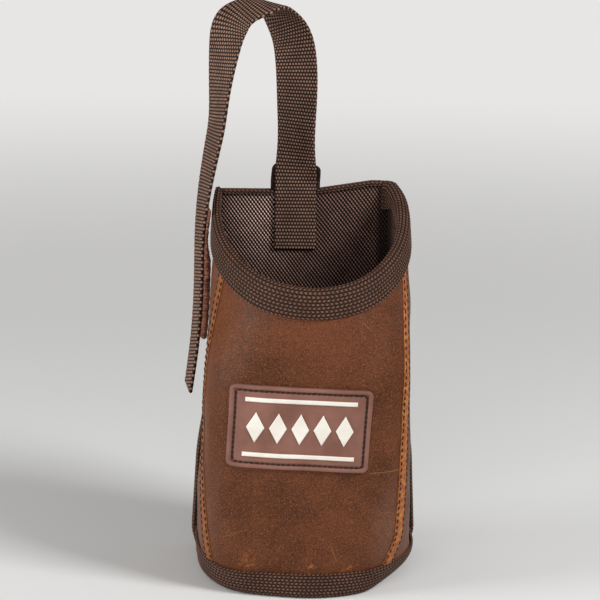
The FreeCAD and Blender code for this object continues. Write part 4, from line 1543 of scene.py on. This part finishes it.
def build_strap():
    """Webbing in two lengths: a riser from the sewn tab up past the hinge, and a leg that runs on to the
    tail.
    """
    tab = HINGE_TRAVEL - HINGE_ROOM - ANCHOR_LENGTH - HEM_DIP
    webbing = (STRAP_WIDTH, -STRAP_FACE, STRAP_FACE, web_relief)
    band = strap_band(tab, STRAP_JOIN, *webbing, cut=STRAP_JOIN)
    riser = make_shell("strap_riser", "webbing", *band, nodes=["strap_anchor"], body=None)
    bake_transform(riser)
    band = strap_band(STRAP_JOIN, STRAP_END, *webbing, lean=WEB_LEAN, cut=STRAP_JOIN)
    leg = make_shell("strap_leg", "webbing", *band, nodes=["strap_loop", "strap_tail"], body=None)
    ends = STRAP_MIDDLE(np.array([TAIL_START - TAIL_BLEND, TAIL_START + TAIL_BLEND])) * MM
    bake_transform(leg)


def build_fastener_tapes():
    """Hook tape on the tail's inner face, pressed thin beside the mouth, and the loop tape's end."""
    face = STRAP_FACE + GAP
    start = TAIL_START + HOOK_START
    travel = steps(0, HOOK_LENGTH, HOOK_SPACING)[:, None]
    thickness = np.interp(travel, HOOK_PRESSED_TO, (HOOK_PRESSED, HOOK_THICKNESS))
    inner = -face - thickness
    band = strap_band(start, start + HOOK_LENGTH, HOOK_WIDTH, inner, -face, fuzz_relief, HOOK_SPACING)
    make_shell("hook_tape", "hook_tape", *band, body="tail")
    low = HINGE_TRAVEL - HEM_DIP - LOOP_END_LAP
    high = low + LOOP_END_HEIGHT + LOOP_END_LAP
    outer = face + LOOP_TAPE_THICKNESS
    band = strap_band(low, high, LOOP_END_WIDTH, face, outer, fuzz_relief, LOOP_END_SPACING,
                      corner=LOOP_END_CORNER)
    make_shell("loop_tape_end", "loop_tape", *band, body="strap")


def build_loop_tape():
    """The wide loop tape sewn down the outside of the back."""
    high = BACK_HEIGHT - LOOP_TAPE_DROP
    half = LOOP_TAPE_WIDTH / 2
    z, across = grid_of(steps(high - LOOP_TAPE_LENGTH, high, WEB_SPACING), steps(-half, half, WEB_SPACING))
    rim = np.minimum(half - np.abs(across), np.minimum(z - z[0, 0], z[-1, 0] - z))
    height = LOOP_TAPE_THICKNESS * (LOOP_TAPE_EDGE + (1 - LOOP_TAPE_EDGE) * edge_fade(rim, LOOP_TAPE_ROUND))
    height = height + (fuzz_relief(across, z) + LOOP_TAPE_NAP) * edge_fade(rim, LOOP_NAP_ROUND)
    low_y = BACK_REAR_Y + GAP
    faces = [on_back(STRAP_X + across, y, z) for y in (low_y + height, low_y)]
    make_shell("loop_tape", "loop_tape", *faces, points_of(across, z))


# Stage

def build_camera():
    flat = math.cos(CAMERA_ELEVATION)
    sine, cosine = math.sin(CAMERA_AZIMUTH), math.cos(CAMERA_AZIMUTH)
    back = Vector((sine * flat, -cosine * flat, math.sin(CAMERA_ELEVATION)))
    right = Vector((cosine, sine, 0))
    up = back.cross(right)
    rolled_right = math.cos(CAMERA_ROLL) * right + math.sin(CAMERA_ROLL) * up
    rolled_up = -math.sin(CAMERA_ROLL) * right + math.cos(CAMERA_ROLL) * up
    place = (Vector(CAMERA_TARGET) + back * CAMERA_DISTANCE) * MM
    data = bpy.data.cameras.new("camera")
    data.sensor_width = SENSOR
    data.lens = SENSOR * PIXELS_PER_MM * CAMERA_DISTANCE / IMAGE_SIZE
    data.shift_x = (IMAGE_SIZE / 2 - IMAGE_CENTRE[0]) / IMAGE_SIZE
    data.shift_y = (IMAGE_CENTRE[1] - IMAGE_SIZE / 2) / IMAGE_SIZE
    camera = add_object("camera", data)
    turned = Matrix((rolled_right, rolled_up, back)).transposed().to_4x4()
    camera.matrix_world = Matrix.Translation(place) @ turned
    bpy.context.scene.camera = camera


def build_floor():
    shader = Shader("floor")
    colour = shader.mix(shader.noise(300.0), (0.80, 0.80, 0.79), (0.83, 0.83, 0.82))
    shader.finish(colour, 0.9, 0.1)
    shader.fade_out(FLOOR_SOLID, FLOOR_END)
    mesh = bpy.data.meshes.new("floor")
    corners = [(x * FLOOR_END, y * FLOOR_END, FLOOR_Z) for x, y in ((-1, -1), (1, -1), (1, 1), (-1, 1))]
    mesh.from_pydata(corners, [], [(0, 1, 2, 3)])
    mesh.materials.append(shader.material)
    add_object("floor", mesh)


def build_world():
    """A pale backdrop for the camera, and a weaker even light on the object."""
    world = bpy.data.worlds.new("studio")
    bpy.context.scene.world = world
    world.use_nodes = True
    nodes = world.node_tree.nodes
    strength = nodes.new("ShaderNodeMapRange")
    strength.inputs["To Min"].default_value = WORLD_LIGHT
    strength.inputs["To Max"].default_value = WORLD_SEEN
    seen = nodes.new("ShaderNodeLightPath").outputs["Is Camera Ray"]
    world.node_tree.links.new(seen, strength.inputs["Value"])
    world.node_tree.links.new(strength.outputs[0], nodes["Background"].inputs["Strength"])
    nodes["Background"].inputs["Color"].default_value = WORLD_COLOUR


def build_lamp(name, place, size, power):
    data = bpy.data.lights.new(name, "AREA")
    data.shape = "RECTANGLE"
    data.size, data.size_y = size
    data.energy = power
    lamp = add_object(name, data)
    lamp.location = place
    lamp.rotation_euler = (Vector(LAMP_AIM) - Vector(place)).to_track_quat("-Z", "Y").to_euler()


build_wall()
for seam_side in ("left", "right"):
    build_seam(seam_side)
build_mouth_binding()
build_base_binding()
build_back_binding(1, "back_binding_right")
build_back_binding(-1, "back_binding_left")
build_hem()
build_back()
build_base()
build_patch()
build_patch_stitches()
build_inlay()
build_strap()
build_fastener_tapes()
build_loop_tape()
build_camera()
build_floor()
build_world()
for lamp_values in LAMPS:
    build_lamp(*lamp_values)
bpy.context.scene.view_settings.view_transform = "Standard"
